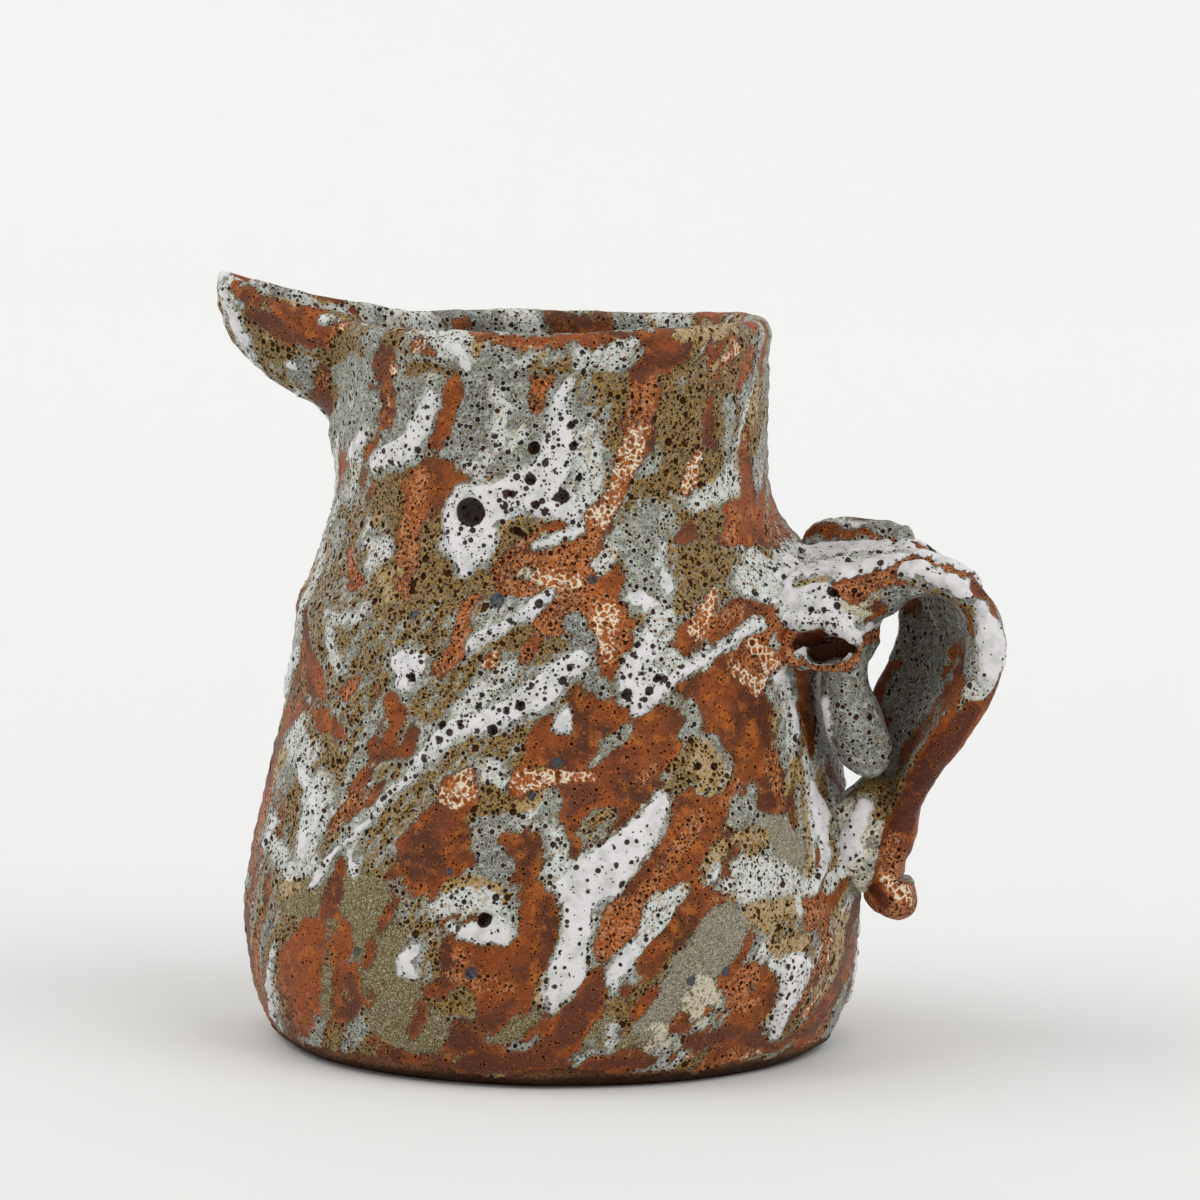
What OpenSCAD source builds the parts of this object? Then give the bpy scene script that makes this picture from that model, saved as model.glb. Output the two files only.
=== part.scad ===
/* [Body] */
// Height of the rim above the table
rim_z = 126; // [116:1:136]
// Radius of the foot on the table
foot_r = 48.6; // [44:0.2:51]
// Radius of the belly at its widest
belly_r = 54.2; // [52:0.2:58]
// Height of the widest part of the belly
belly_z = 21; // [17:0.5:25]
// Radius of the shoulder ridge
shoulder_r = 45.5; // [43:0.5:48]
// Height of the shoulder ridge
shoulder_z = 77; // [72:1:82]
// Radius of the straight neck
neck_r = 37.5; // [35:0.5:41]
// Height at which the shoulder has run into the neck
neck_z = 101; // [97:1:104]
// Thickness of the thrown wall
wall = 4.6; // [3.6:0.1:6]
// Thickness of the floor
floor_t = 6; // [4.5:0.5:9]
// Radius of the round inside corner at the floor
floor_round = 12; // [6:1:18]

/* [Spout] */
// How far the beak's tip stands out from the neck
spout_reach = 24; // [16:1:30]
// How far the tip rises above the rim
spout_lift = 8; // [3:0.5:12]
// How far below the rim the beak's keel leaves the neck
spout_drop = 18; // [13:1:22]
// Half of the neck's arc that the beak covers at the rim, in degrees
spout_spread = 29; // [20:1:36]
// Thickness of the beak's wall
spout_wall = 4; // [3:0.2:5]
// Roundness of the beak's nose: 1 is a sharp point, 2 a round one
spout_nose = 1.55; // [1.2:0.05:2]

/* [Handle] */
// Height of the handle's root on the body
root_z = 80; // [76:1:84]
// Thickness of the strap at its root
root_t = 11; // [9:0.5:14]
// Thickness of the strap along the loop
strap_t = 6.4; // [5:0.2:8]
// Half of the strap's width at the root
root_half_w = 16.5; // [13:0.5:19]
// Half of the strap's width round the loop
strap_half_w = 14; // [10:0.5:16]
// Half of the strap's width at its lower tip
tip_half_w = 7; // [5:0.5:10]
// How far the loop's front edge stands out from the body
front_reach = 36; // [30:1:42]
// How far the loop's back edge stands out from the body
back_reach = 16; // [12:0.5:22]
// How far the back edge is drawn in towards the belly below the loop
back_tuck = 6; // [0:0.5:8]
// Rise of the crest above the root
crest_rise = 5; // [2:0.5:9]
// Tilt of the root: how much higher its back edge lies
root_tilt = 4.5; // [0:0.5:7]
// Drop from the root to the loop's widest point
bulge_drop = 7.5; // [4:0.5:12]
// Height of the lower joint on the belly
joint_z = 36; // [30:1:42]
// Height at which the strap ends and the knob begins
tip_z = 31; // [28:1:33]
// Depth of the hollow across the strap's inner face
strap_hollow = 2; // [0:0.2:3]

/* [Root scroll] */
// Half of the scroll's width, out from the body
scroll_rx = 7.4; // [5:0.2:9]
// Half of the scroll's height
scroll_rz = 4.8; // [3.5:0.1:6]
// Length of the scroll along its roll
scroll_len = 15; // [10:1:20]
// Wall left round the scroll's open hollow
scroll_wall = 1.8; // [1.2:0.1:2.6]
// Depth of the scroll's open hollow
scroll_depth = 8; // [5:0.5:13]

/* [Tail curl] */
// Length of the tail below the scroll
tail_len = 20; // [14:1:24]
// Thickness of the tail
tail_t = 9; // [7:0.5:11]
// Width of the tail
tail_w = 11; // [8:0.5:14]
// How far the tail's end swings out from the body
tail_swing = 3.5; // [1:0.5:6]

/* [Thumb coil] */
// Length of the coil
coil_len = 18.5; // [14:0.5:22]
// Half of the coil's thickness
coil_rz = 3; // [2:0.2:4]
// Half of the coil's width
coil_ry = 4.4; // [3:0.2:6]
// How far behind the middle of the strap the coil lies
coil_y = 8; // [4:0.5:11]

/* [Small lumps] */
// Radius of the pellet on the strap's crest
pellet_r = 1.9; // [1.2:0.1:2.6]
// Height of the knob below the strap's end
knob_h = 6.5; // [5:0.5:8]
// Half of the knob's thickness at its flare
knob_r = 4.6; // [3.6:0.2:5.6]
// Thickness of the wad behind the strap's lower end
wad_t = 8; // [5:0.5:11]

/* [Hidden] */
$fn = 96;
// Colours
rust = "#9A4C22";
pale_glaze = "#DDD8D6";
grey_glaze = "#8E9385";
// Number of straight steps in each curved stretch of the body's outline
steps = 12;
// Rings along a swept piece for each stretch between two of its stations
rings_per_stretch = 3;
// Points on each face of the strap's section, and on each round end
face_points = 6;
end_points = 3;
// Sides of a round swept section
round_sides = 14;
// Overlap used where one piece is cut to the face of another
bite = 3;
// Clearance between the strap's cut end and the knob luted to it
end_gap = 0.3;
// How far the scroll is pressed into the body
scroll_press = 2.6;
// How far the scroll stands out past the root's front edge
scroll_jut = 1.5;

// The body's outside radius at a height, made of three smooth stretches and a straight neck
function foot_curve(t) = pow(sin(90 * t), 0.8);
function belly_curve(t) = (1 - cos(180 * t)) / 2;
function neck_curve(t) = sin(90 * t);
function body_r(z) =
    z <= 0 ? foot_r
    : z < belly_z ? foot_r + (belly_r - foot_r) * foot_curve(z / belly_z)
    : z < shoulder_z ? belly_r - (belly_r - shoulder_r) * belly_curve((z - belly_z) / (shoulder_z - belly_z))
    : z < neck_z ? shoulder_r - (shoulder_r - neck_r) * neck_curve((z - shoulder_z) / (neck_z - shoulder_z))
    : neck_r;
rim_r = wall / 2;
outer_z = concat(
    [for (i = [0:steps]) belly_z * i / steps],
    [for (i = [1:steps]) belly_z + (shoulder_z - belly_z) * i / steps],
    [for (i = [1:steps]) shoulder_z + (neck_z - shoulder_z) * i / steps],
    [rim_z - rim_r]);
inner_z = [for (z = outer_z) if (z > floor_t + floor_round) z];
outer_points = [for (z = outer_z) [body_r(z), z]];
rim_points = [for (a = [15:15:165]) [neck_r - rim_r + rim_r * cos(a), rim_z - rim_r + rim_r * sin(a)]];
inner_points = [for (i = [len(inner_z) - 1:-1:0]) [body_r(inner_z[i]) - wall, inner_z[i]]];
corner_r = body_r(floor_t + floor_round) - wall - floor_round;
corner_points = [for (a = [0:15:90])
    [corner_r + floor_round * cos(a), floor_t + floor_round - floor_round * sin(a)]];

// A smooth curve through a list of stations, each a list of numbers
function spline(p, i, t) =
    let (n = len(p) - 1, a = p[max(i - 1, 0)], b = p[i], c = p[min(i + 1, n)], d = p[min(i + 2, n)])
    (2 * b + (c - a) * t + (2 * a - 5 * b + 4 * c - d) * t * t + (3 * b - a - 3 * c + d) * t * t * t) / 2;
function smooth(p) = concat(
    [for (i = [0:len(p) - 2]) for (k = [0:rings_per_stretch - 1]) spline(p, i, k / rings_per_stretch)],
    [p[len(p) - 1]]);
function unit(v) = v / norm(v);
function tangent(p, i) = unit(p[min(i + 1, len(p) - 1)] - p[max(i - 1, 0)]);

// The middle of a ring of points
function middle(ring) = [for (p = ring) 1] * ring / len(ring);

// A closed skin over rings that all have the same number of points
module skin(rings) {
    n = len(rings[0]);
    last = len(rings) - 1;
    hub = len(rings) * n;
    sides = [for (i = [0:last - 1]) for (j = [0:n - 1])
        each [[i * n + j, i * n + (j + 1) % n, (i + 1) * n + j],
              [i * n + (j + 1) % n, (i + 1) * n + (j + 1) % n, (i + 1) * n + j]]];
    caps = concat([for (j = [0:n - 1]) [hub, (j + 1) % n, j]],
                  [for (j = [0:n - 1]) [hub + 1, last * n + j, last * n + (j + 1) % n]]);
    hubs = [middle(rings[0]), middle(rings[last])];
    polyhedron(points = concat([for (r = rings) each r], hubs), faces = concat(sides, caps));
}

// A round or oval bar along a path; each station is [x, y, z, half thickness, half width across y]
module bar(stations) {
    path = smooth(stations);
    mid = [for (s = path) [s[0], s[1], s[2]]];
    skin([for (i = [0:len(path) - 1])
        let (t = tangent(mid, i), w = [0, 1, 0] - t * t[1], across = unit(w), up = cross(t, across))
        [for (j = [0:round_sides - 1])
            let (a = 360 * j / round_sides)
            mid[i] + up * path[i][3] * cos(a) + across * path[i][4] * sin(a)]]);
}

// The body's outside as one solid, used to seat what is luted to it
module body_solid() {
    rotate_extrude() polygon(concat([[0, 0]], outer_points, [[neck_r, rim_z], [0, rim_z]]));
}

// A closed wall between two sheets of points, the outer one and the inner one
module shell(outer, inner) {
    rows = len(outer);
    n = len(outer[0]);
    under = rows * n;
    function quad(a, b, c, d) = [[a, b, c], [a, c, d]];
    sheets = [for (i = [0:rows - 2]) for (j = [0:n - 2])
        let (a = i * n + j)
        each concat(quad(a, a + 1, a + n + 1, a + n),
                    quad(under + a, under + a + n, under + a + n + 1, under + a + 1))];
    long_edges = [for (j = [0:n - 2])
        let (b = (rows - 1) * n + j)
        each concat(quad(j, under + j, under + j + 1, j + 1),
                    quad(b, b + 1, under + b + 1, under + b))];
    short_edges = [for (i = [0:rows - 2])
        let (a = i * n, b = i * n + n - 1)
        each concat(quad(a, a + n, under + a + n, under + a),
                    quad(b, under + b, under + b + n, b + n))];
    polyhedron(points = [for (row = concat(outer, inner)) each row],
               faces = concat(sheets, long_edges, short_edges));
}

// The beak: a wall whose level lines are drawn out to a nose along -X, from the keel up to the lip
spout_z = rim_z - spout_drop;
spout_levels = 10;
spout_sides = 20;
// Share of the rim's spread that the keel starts with
keel_spread = 0.35;
function keel(f) = 1 - pow(1 - f, 3);
function beak_point(f, s, inset) =
    let (spread = spout_spread * (keel_spread + (1 - keel_spread) * f) - asin(inset / neck_r),
         root_u = (neck_r - bite) * cos(spread),
         tip_u = neck_r - bite + (spout_reach + bite) * keel(f) - inset,
         lip_z = rim_z + spout_lift * (1 - abs(s)))
    [-(tip_u - (tip_u - root_u) * pow(abs(s), spout_nose)),
     neck_r * sin(spread) * s,
     spout_z + f * (lip_z - spout_z)];
function beak_sheet(inset) = [for (i = [0:spout_levels])
    [for (j = [0:spout_sides]) beak_point(i / spout_levels, 2 * j / spout_sides - 1, inset)]];

module thrown_body() {
    color(rust)
    difference() {
        rotate_extrude() polygon(concat([[0, 0]], outer_points, rim_points, inner_points, corner_points,
                                        [[0, floor_t]]));
        beak_gap();
    }
}

// The way through the neck behind the beak: a V that widens up to the rim
gap_half_w = neck_r * sin(spout_spread) - spout_wall;
module beak_gap() {
    translate([-neck_r - bite, 0, 0])
    rotate([90, 0, 90])
    linear_extrude(neck_r)
    polygon([[0, spout_z + spout_wall * 1.5], [gap_half_w, rim_z + bite], [-gap_half_w, rim_z + bite]]);
}

module spout() {
    color(rust)
    difference() {
        shell(beak_sheet(0), beak_sheet(spout_wall));
        body_solid();
    }
}

// The strap: each station gives its front edge [x, y, z], its back edge [x, y, z] and its thickness
root_r = body_r(root_z);
joint_r = body_r(joint_z);
tip_r = body_r(tip_z);
front_x = root_r + front_reach;
back_x = root_r + back_reach;
crest_z = root_z + crest_rise;
bulge_z = root_z - bulge_drop;
joint_front = joint_r + wad_t * 1.2;
joint_back = joint_r + wad_t * 0.8;
function mix(a, b, t) = a + (b - a) * t;
function strap_row(front, front_z, back, back_z, half_w, t) =
    [front, -half_w, front_z, back, half_w, back_z, t];
function root_row(f, front_z, b, back_z, half_w, t) =
    strap_row(root_r + front_reach * f, front_z, root_r + back_reach * b, back_z, half_w, t);
function lower_row(t, draw_in, half_w) =
    strap_row(mix(front_x, joint_front, belly_curve(t)), mix(bulge_z, joint_z, t),
              mix(back_x, joint_back, t) - draw_in, mix(bulge_z, joint_z, t), half_w, strap_t);
function end_row(z) =
    strap_row(tip_r + strap_t, z, tip_r + strap_t * 0.85, z, tip_half_w, strap_t);
strap_stations = [
    strap_row(root_r - bite * 2, root_z - root_tilt, root_r - bite * 2, root_z + root_tilt / 2,
              root_half_w, root_t * 1.3),
    root_row(0.19, root_z - root_tilt / 2, 0.31, root_z + root_tilt, root_half_w, root_t),
    root_row(0.39, root_z + crest_rise * 0.1, 0.69, root_z + root_tilt, strap_half_w, root_t * 0.9),
    root_row(0.61, crest_z - crest_rise * 0.1, 0.94, root_z + root_tilt, strap_half_w, strap_t * 1.08),
    root_row(0.82, crest_z - crest_rise * 0.3, 1.06, root_z + root_tilt * 0.2, strap_half_w, strap_t),
    root_row(0.96, crest_z - crest_rise * 1.3, 1, root_z - root_tilt * 0.8, strap_half_w, strap_t),
    lower_row(0, 0, strap_half_w),
    lower_row(0.2, back_tuck * 0.35, strap_half_w),
    lower_row(0.45, back_tuck, strap_half_w),
    lower_row(0.7, back_tuck * 0.7, mix(strap_half_w, tip_half_w, 0.5)),
    lower_row(0.93, 0, mix(strap_half_w, tip_half_w, 0.9)),
    end_row(tip_z + strap_t * 0.5),
    end_row(tip_z)];

function strap_section(front, back, tan, thick) =
    let (across = unit(back - front), out = unit(cross(tan, across)), half = thick / 2,
         f = front + across * half, b = back - across * half)
    concat(
        [for (k = [0:face_points]) f + (b - f) * k / face_points + out * half],
        [for (k = [1:end_points]) let (a = 90 - 180 * k / (end_points + 1))
            b + across * half * cos(a) + out * half * sin(a)],
        [for (k = [0:face_points]) let (w = 1 - k / face_points)
            f + (b - f) * w + out * (strap_hollow * 4 * w * (1 - w) - half)],
        [for (k = [1:end_points]) let (a = -90 - 180 * k / (end_points + 1))
            f + across * half * cos(a) + out * half * sin(a)]);

module strap_bar() {
    path = smooth(strap_stations);
    front = [for (s = path) [s[0], s[1], s[2]]];
    back = [for (s = path) [s[3], s[4], s[5]]];
    skin([for (i = [0:len(path) - 1])
        strap_section(front[i], back[i], tangent((front + back) / 2, i), path[i][6])]);
}

module strap_handle() {
    color(rust)
    difference() {
        strap_bar();
        body_solid();
    }
}

// A rolled end under the root: rings run along the outside, over the open lip and back down the hollow
scroll_z = root_z - root_tilt / 2 - root_t / 2 + scroll_rz * 0.1;
scroll_x = body_r(scroll_z) + scroll_rx - scroll_press;
scroll_front = -root_half_w - scroll_jut;
scroll_lip = scroll_wall / 2;
function scroll_ring(y, inset) = [for (j = [0:round_sides - 1])
    let (a = -360 * j / round_sides)
    [scroll_x + (scroll_rx - inset) * cos(a), scroll_front + y, scroll_z + (scroll_rz - inset) * sin(a)]];
scroll_outside = [
    scroll_ring(scroll_len, scroll_rz * 0.6),
    scroll_ring(scroll_len - scroll_lip, scroll_rz * 0.25),
    scroll_ring(scroll_len - scroll_wall, 0),
    scroll_ring(scroll_lip, 0)];
scroll_inside = [
    scroll_ring(0, scroll_lip),
    scroll_ring(scroll_lip, scroll_wall),
    scroll_ring(scroll_depth - scroll_lip, scroll_wall),
    scroll_ring(scroll_depth, scroll_wall * 1.4)];

module scroll_solid() {
    skin(concat(scroll_outside, [scroll_ring(0, scroll_lip)]));
}

module root_scroll() {
    color(rust)
    difference() {
        skin(concat(scroll_outside, scroll_inside));
        body_solid();
        strap_bar();
    }
}

// The tail: a tongue that hangs from the scroll, swings out and ends in a round curl
tail_x = root_r + scroll_rx * 1.28;
tail_y = scroll_front + scroll_len - tail_w / 2 - scroll_lip;
tail_stations = [
    [tail_x, tail_y, scroll_z + scroll_rz * 0.2, tail_t * 0.4, tail_w * 0.45],
    [tail_x - tail_swing * 0.15, tail_y, scroll_z - tail_len * 0.35, tail_t * 0.44, tail_w * 0.48],
    [tail_x + tail_swing * 0.4, tail_y, scroll_z - tail_len * 0.65, tail_t * 0.52, tail_w * 0.5],
    [tail_x + tail_swing, tail_y, scroll_z - tail_len, tail_t * 0.5, tail_w * 0.46],
    [tail_x + tail_swing, tail_y, scroll_z - tail_len - tail_t * 0.35, tail_t * 0.2, tail_w * 0.2]];

module tail_curl() {
    color(grey_glaze)
    difference() {
        bar(tail_stations);
        scroll_solid();
        strap_bar();
        body_solid();
    }
}

// The coil on top of the root, bent down a little at its free end
coil_z = root_z + root_tilt + root_t / 2 - coil_rz * 0.05;
coil_x = root_r - coil_rz / 3;
function coil_row(along, drop, share) =
    [coil_x + coil_len * along, coil_y, coil_z - coil_rz * drop, coil_rz * share, coil_ry * share];
coil_stations = [
    coil_row(0, 0.5, 0.5),
    coil_row(0.2, 0.1, 0.95),
    coil_row(0.6, 0, 1),
    coil_row(0.9, 0.33, 0.9),
    coil_row(1, 0.6, 0.4)];

module thumb_coil() {
    color(grey_glaze)
    difference() {
        bar(coil_stations);
        strap_bar();
        body_solid();
    }
}

// A lump with an oval outline, for what is pressed on by a thumb
module lump(rx, ry, rz) {
    skin([for (i = [1:round_sides / 2 - 1])
        let (a = 180 - 360 * i / round_sides)
        [for (j = [0:round_sides - 1])
            let (b = 360 * j / round_sides)
            [rx * sin(a) * cos(b), ry * cos(a), rz * sin(a) * sin(b)]]]);
}

// The pellet sits on the strap's upper face, on its crest and a little to the front of its middle
crest_row = strap_stations[3];
pellet_w = 0.45;
pellet_x = mix(crest_row[0], crest_row[3], pellet_w) + strap_t * 0.2;
pellet_y = mix(crest_row[1], crest_row[4], pellet_w);
pellet_z = mix(crest_row[2], crest_row[5], pellet_w) + crest_row[6] / 2 - pellet_r * 0.4;
module crest_pellet() {
    color(rust)
    difference() {
        translate([pellet_x, pellet_y, pellet_z]) lump(pellet_r, pellet_r, pellet_r);
        strap_bar();
    }
}

// The wad packs the wedge between the belly and the front half of the strap's lower end
wad_y = -tip_half_w * 0.45;
wad_half_w = tip_half_w * 0.85;
function wad_row(z, t, w) = [body_r(z) + wad_t * (t - 0.2), wad_y, z, wad_t * t, wad_half_w * w];
wad_stations = [
    wad_row(tip_z + wad_t * 0.1, 0.34, 0.6),
    wad_row(joint_z - wad_t * 0.4, 0.44, 0.85),
    wad_row(joint_z + wad_t * 0.4, 0.6, 1),
    wad_row(joint_z + wad_t, 0.75, 1),
    wad_row(joint_z + wad_t * 1.25, 0.62, 0.75)];

module lower_wad() {
    color(pale_glaze)
    difference() {
        bar(wad_stations);
        strap_bar();
        body_solid();
    }
}

// The knob: the strap's end flares out below its cut and comes back to the belly
function knob_row(out, down, thick, w) =
    [tip_r + strap_t * out, 0, tip_z - end_gap - knob_h * down, knob_r * thick, tip_half_w * w];
knob_stations = [
    knob_row(1, 0, 0.75, 0.95),
    knob_row(1, 0.15, 0.85, 1),
    knob_row(1.06, 0.45, 1, 1.05),
    knob_row(1, 0.75, 0.95, 0.95),
    knob_row(0.9, 1, 0.6, 0.6)];

module terminal_knob() {
    color(rust)
    difference() {
        bar(knob_stations);
        body_solid();
    }
}

thrown_body();
spout();
strap_handle();
root_scroll();
tail_curl();
thumb_coil();
crest_pellet();
lower_wad();
terminal_knob();
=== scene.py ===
"""A hand-thrown stoneware jug with a beaked mouth, a looped strap handle and a cratered run glaze.

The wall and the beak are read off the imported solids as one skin, then wobbled, glazed and pitted in mesh code.
The handle's pieces are remeshed from their own solids. The glaze lies in runs: each is a chain of places that
the photograph's camera drops on to the clay, and a fixed seed carries the same runs on round the back.
"""

import logging
import math
from dataclasses import dataclass, field
from enum import Enum
from functools import partial

import bmesh
import bpy
from bpy.types import Material, Mesh, Node, NodeSocket as Socket, NodeTree, Object
import numpy as np
from mathutils import Matrix, Vector
from mathutils.bvhtree import BVHTree


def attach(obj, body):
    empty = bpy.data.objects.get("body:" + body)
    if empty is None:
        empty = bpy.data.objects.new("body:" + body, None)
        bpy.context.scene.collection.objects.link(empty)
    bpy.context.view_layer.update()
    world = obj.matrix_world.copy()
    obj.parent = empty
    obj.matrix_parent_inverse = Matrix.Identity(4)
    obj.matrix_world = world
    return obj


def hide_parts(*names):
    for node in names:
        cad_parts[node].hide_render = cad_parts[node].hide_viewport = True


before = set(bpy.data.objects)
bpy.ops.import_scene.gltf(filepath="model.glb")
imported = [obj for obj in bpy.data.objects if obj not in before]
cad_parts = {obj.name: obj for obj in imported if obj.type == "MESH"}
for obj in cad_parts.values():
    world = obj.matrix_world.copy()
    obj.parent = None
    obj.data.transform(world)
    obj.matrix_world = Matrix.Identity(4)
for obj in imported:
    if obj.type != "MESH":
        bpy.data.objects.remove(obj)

# A range, and the numbers of a place
Span = tuple[float, float]
Place = tuple[float, float, float]

MM = 0.001
log = logging.getLogger("jug")

BODY_NODES = ("thrown_body", "spout")
HANDLE_NODES = ("strap_handle", "root_scroll", "tail_curl", "thumb_coil", "crest_pellet", "lower_wad",
                "terminal_knob")

# Millimetres: the rim's height, half its thickness, and how far the neck leans to the beak between two heights
RIM_Z = 126.0
LIP_R = 2.3
NECK_LEAN = 1.1
LEAN_HEIGHTS = (80.0, 106.0)
# How far the runs of glaze lean, in radians for each millimetre of height
FLOW_SLANT = 0.016


def ramp(value: np.ndarray, low: float, high: float) -> np.ndarray:
    """A smooth step of value from 0 at low to 1 at high."""
    t = np.clip((value - low) / (high - low), 0.0, 1.0)
    return t * t * (3.0 - 2.0 * t)


def hex_colour(code: str) -> tuple[float, float, float, float]:
    """A written sRGB colour, as the linear one that shaders take."""
    parts = [int(code[i:i + 2], 16) / 255.0 for i in (1, 3, 5)]
    linear = [c / 12.92 if c <= 0.04045 else ((c + 0.055) / 1.055) ** 2.4 for c in parts]
    return (*linear, 1.0)


def new_object(name: str, data: bpy.types.ID) -> Object:
    """Puts a new object in the scene."""
    thing = bpy.data.objects.new(name, data)
    bpy.context.scene.collection.objects.link(thing)
    return thing


@dataclass(frozen=True)
class PhotoCamera:
    """The photograph's camera, worked out from the foot's and the rim's ellipses. Millimetres and degrees."""

    frame_px: float = 1200.0
    focal_px: float = 5395.0
    side: float = 7.6
    back: float = 940.0
    height: float = 179.4
    pitch: float = 6.2
    roll: float = 0.75
    turn: float = 12.0
    sensor: float = 36.0
    clip_m: float = 50.0

    def pose(self) -> tuple[Vector, Matrix]:
        """The eye, and the camera's right, up and backward axes as columns."""
        turn = Matrix.Rotation(math.radians(self.turn), 3, "Z")
        tilt = Matrix.Rotation(math.radians(90.0 - self.pitch), 3, "X")
        roll = Matrix.Rotation(math.radians(self.roll), 3, "Z")
        return turn @ Vector((self.side, -self.back, self.height)), turn @ tilt @ roll

    def ray(self, x: float, y: float) -> tuple[Vector, Vector]:
        """The eye and the direction of a pixel's line of sight."""
        eye, axes = self.pose()
        half = self.frame_px / 2.0
        return eye, (axes @ Vector(((x - half) / self.focal_px, (half - y) / self.focal_px, -1.0))).normalized()

    def px_per_mm(self, point: Vector) -> float:
        """How many pixels a millimetre takes at a place on the jug."""
        eye, axes = self.pose()
        return self.focal_px / (eye - point).dot(axes.col[2])

    def make(self) -> None:
        """Adds the camera to the scene and makes it the one in use."""
        eye, axes = self.pose()
        lens = bpy.data.cameras.new("photo_camera")
        lens.sensor_width = self.sensor
        lens.lens = self.focal_px / self.frame_px * self.sensor
        lens.clip_end = self.clip_m
        camera = new_object("photo_camera", lens)
        camera.matrix_world = Matrix.Translation(eye * MM) @ axes.to_4x4()
        bpy.context.scene.camera = camera


class PackedSolids:
    """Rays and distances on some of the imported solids, in millimetres."""

    def __init__(self, *names: str) -> None:
        """Reads the named nodes' meshes.

        Args:
            names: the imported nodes.
        """
        corners: list[tuple[float, ...]] = []
        faces: list[tuple[int, ...]] = []
        for name in names:
            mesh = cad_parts[name].data
            base = len(corners)
            corners += [tuple(v.co / MM) for v in mesh.vertices]
            faces += [tuple(base + i for i in p.vertices) for p in mesh.polygons]
        self.tree = BVHTree.FromPolygons(corners, faces)

    def hit(self, origin: Vector, direction: Vector) -> Vector | None:
        """The first place that a ray meets, or None."""
        return self.tree.ray_cast(origin, direction)[0]

    def gaps(self, points: np.ndarray, reach: float) -> np.ndarray:
        """Each point's distance from the solids, never more than reach."""
        found = (self.tree.find_nearest(Vector(p), reach)[3] for p in points)
        return np.array([reach if d is None else d for d in found])


class Grain:
    """Smooth noise in space, from -1 to 1 and the same on every run."""

    MASK = 0xFFFFFFFF
    AXIS_STEPS = (374761393, 668265263, 974634777)
    SEED_STEP = 40503
    MIXES = ((13, 1274126177), (15, 668265263))
    HALF_RANGE = 32767.5
    LAYER_SHIFT = 17.31

    def __init__(self, seed: int) -> None:
        """Keeps the seed."""
        self.seed = seed

    def _corner(self, cell: np.ndarray) -> np.ndarray:
        """The random value at whole-numbered lattice corners.

        Args:
            cell: rows of whole numbers.

        Returns:
            One value from -1 to 1 for each row.
        """
        h = self.seed * self.SEED_STEP
        for axis, step in enumerate(self.AXIS_STEPS):
            h = h + cell[:, axis] * step
        h = h & self.MASK
        for shift, factor in self.MIXES:
            h = ((h ^ (h >> shift)) * factor) & self.MASK
        return ((h ^ (h >> 16)) & 0xFFFF) / self.HALF_RANGE - 1.0

    def at(self, points: np.ndarray, size: float, layers: int = 1) -> np.ndarray:
        """Noise whose coarsest lumps are about size across.

        Args:
            points: rows of x, y, z.
            size: the lattice's cell, in the points' unit.
            layers: how many times finer, weaker noise is added.

        Returns:
            One value for each row.
        """
        total = np.zeros(len(points))
        weight = 1.0
        for layer in range(layers):
            scaled = points / size + self.LAYER_SHIFT * layer
            cell = np.floor(scaled).astype(np.int64)
            t = scaled - cell
            t = t * t * t * (t * (t * 6.0 - 15.0) + 10.0)
            value = np.zeros(len(points))
            for corner in np.ndindex(2, 2, 2):
                share = np.prod(np.where(corner, t, 1.0 - t), axis=1)
                value += share * self._corner(cell + np.array(corner))
            total += weight * value
            weight *= 0.5
            size *= 0.5
        return total


SURFACE = ("white", "veil", "milk", "olive", "sand", "net", "foam", "dark")
SPOTS = ("iron", "hole")
LAYERS = SURFACE + SPOTS + ("bare",)


class Kind(Enum):
    """What a run of glaze leaves on the clay, as shares of the layers that it's made of."""

    WHITE = {"veil": 1, "milk": 0.7, "white": 1}
    LAVA = {"veil": 1, "milk": 0.7, "white": 1, "foam": 1}
    PALE = {"veil": 1, "milk": 1}
    VEIL = {"veil": 1, "milk": 0.25}
    GREY = {"veil": 1, "dark": 1}
    STONE = {"veil": 1, "olive": 0.62, "milk": 0.15}
    OLIVE = {"veil": 1, "olive": 1}
    OCHRE = {"veil": 1, "olive": 1, "milk": 1}
    KHAKI = {"veil": 1, "olive": 1, "sand": 1}
    SAND = {"veil": 1, "sand": 1}
    CREAM = {"veil": 1, "sand": 1, "milk": 1}
    RUST = {"foam": 0}
    DARK = {"dark": 1}
    FOAM = {"foam": 1}
    NET = {"net": 1, "foam": 1}
    IRON = {"iron": 1}
    HOLE = {"hole": 1}

    @property
    def is_spot(self) -> bool:
        """Whether it's a spot or a crater, which leaves the surface's layers as they are."""
        return self in (Kind.IRON, Kind.HOLE)

    @property
    def shares(self) -> dict[str, float]:
        """The share that each layer is set to."""
        if self.is_spot:
            return self.value
        return {**dict.fromkeys(SURFACE, 0.0), **self.value}


(WHITE, LAVA, PALE, VEIL, GREY, STONE, OLIVE, OCHRE, KHAKI, SAND, CREAM, RUST, DARK, FOAM, NET, IRON, HOLE) = Kind


@dataclass(frozen=True)
class Run:
    """One run of glaze: a chain of (x, y, radius) in the photograph's pixels."""

    name: str
    kind: Kind
    chain: tuple[Place, ...]


def region(part: str, *rows: tuple) -> tuple[Run, ...]:
    """The runs of one part of the jug in the order that they're laid, from rows of a name, a kind and the places."""
    return tuple(Run(f"{part} {name}", kind, tuple(chain)) for name, kind, *chain in rows)


def spots(kind: Kind, parts: dict[str, tuple[Place, ...]]) -> tuple[Run, ...]:
    """Single spots or craters as runs, part by part."""
    return tuple(Run(f"{part} {kind.name.lower()}", kind, (place,))
                 for part, places in parts.items() for place in places)


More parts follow.
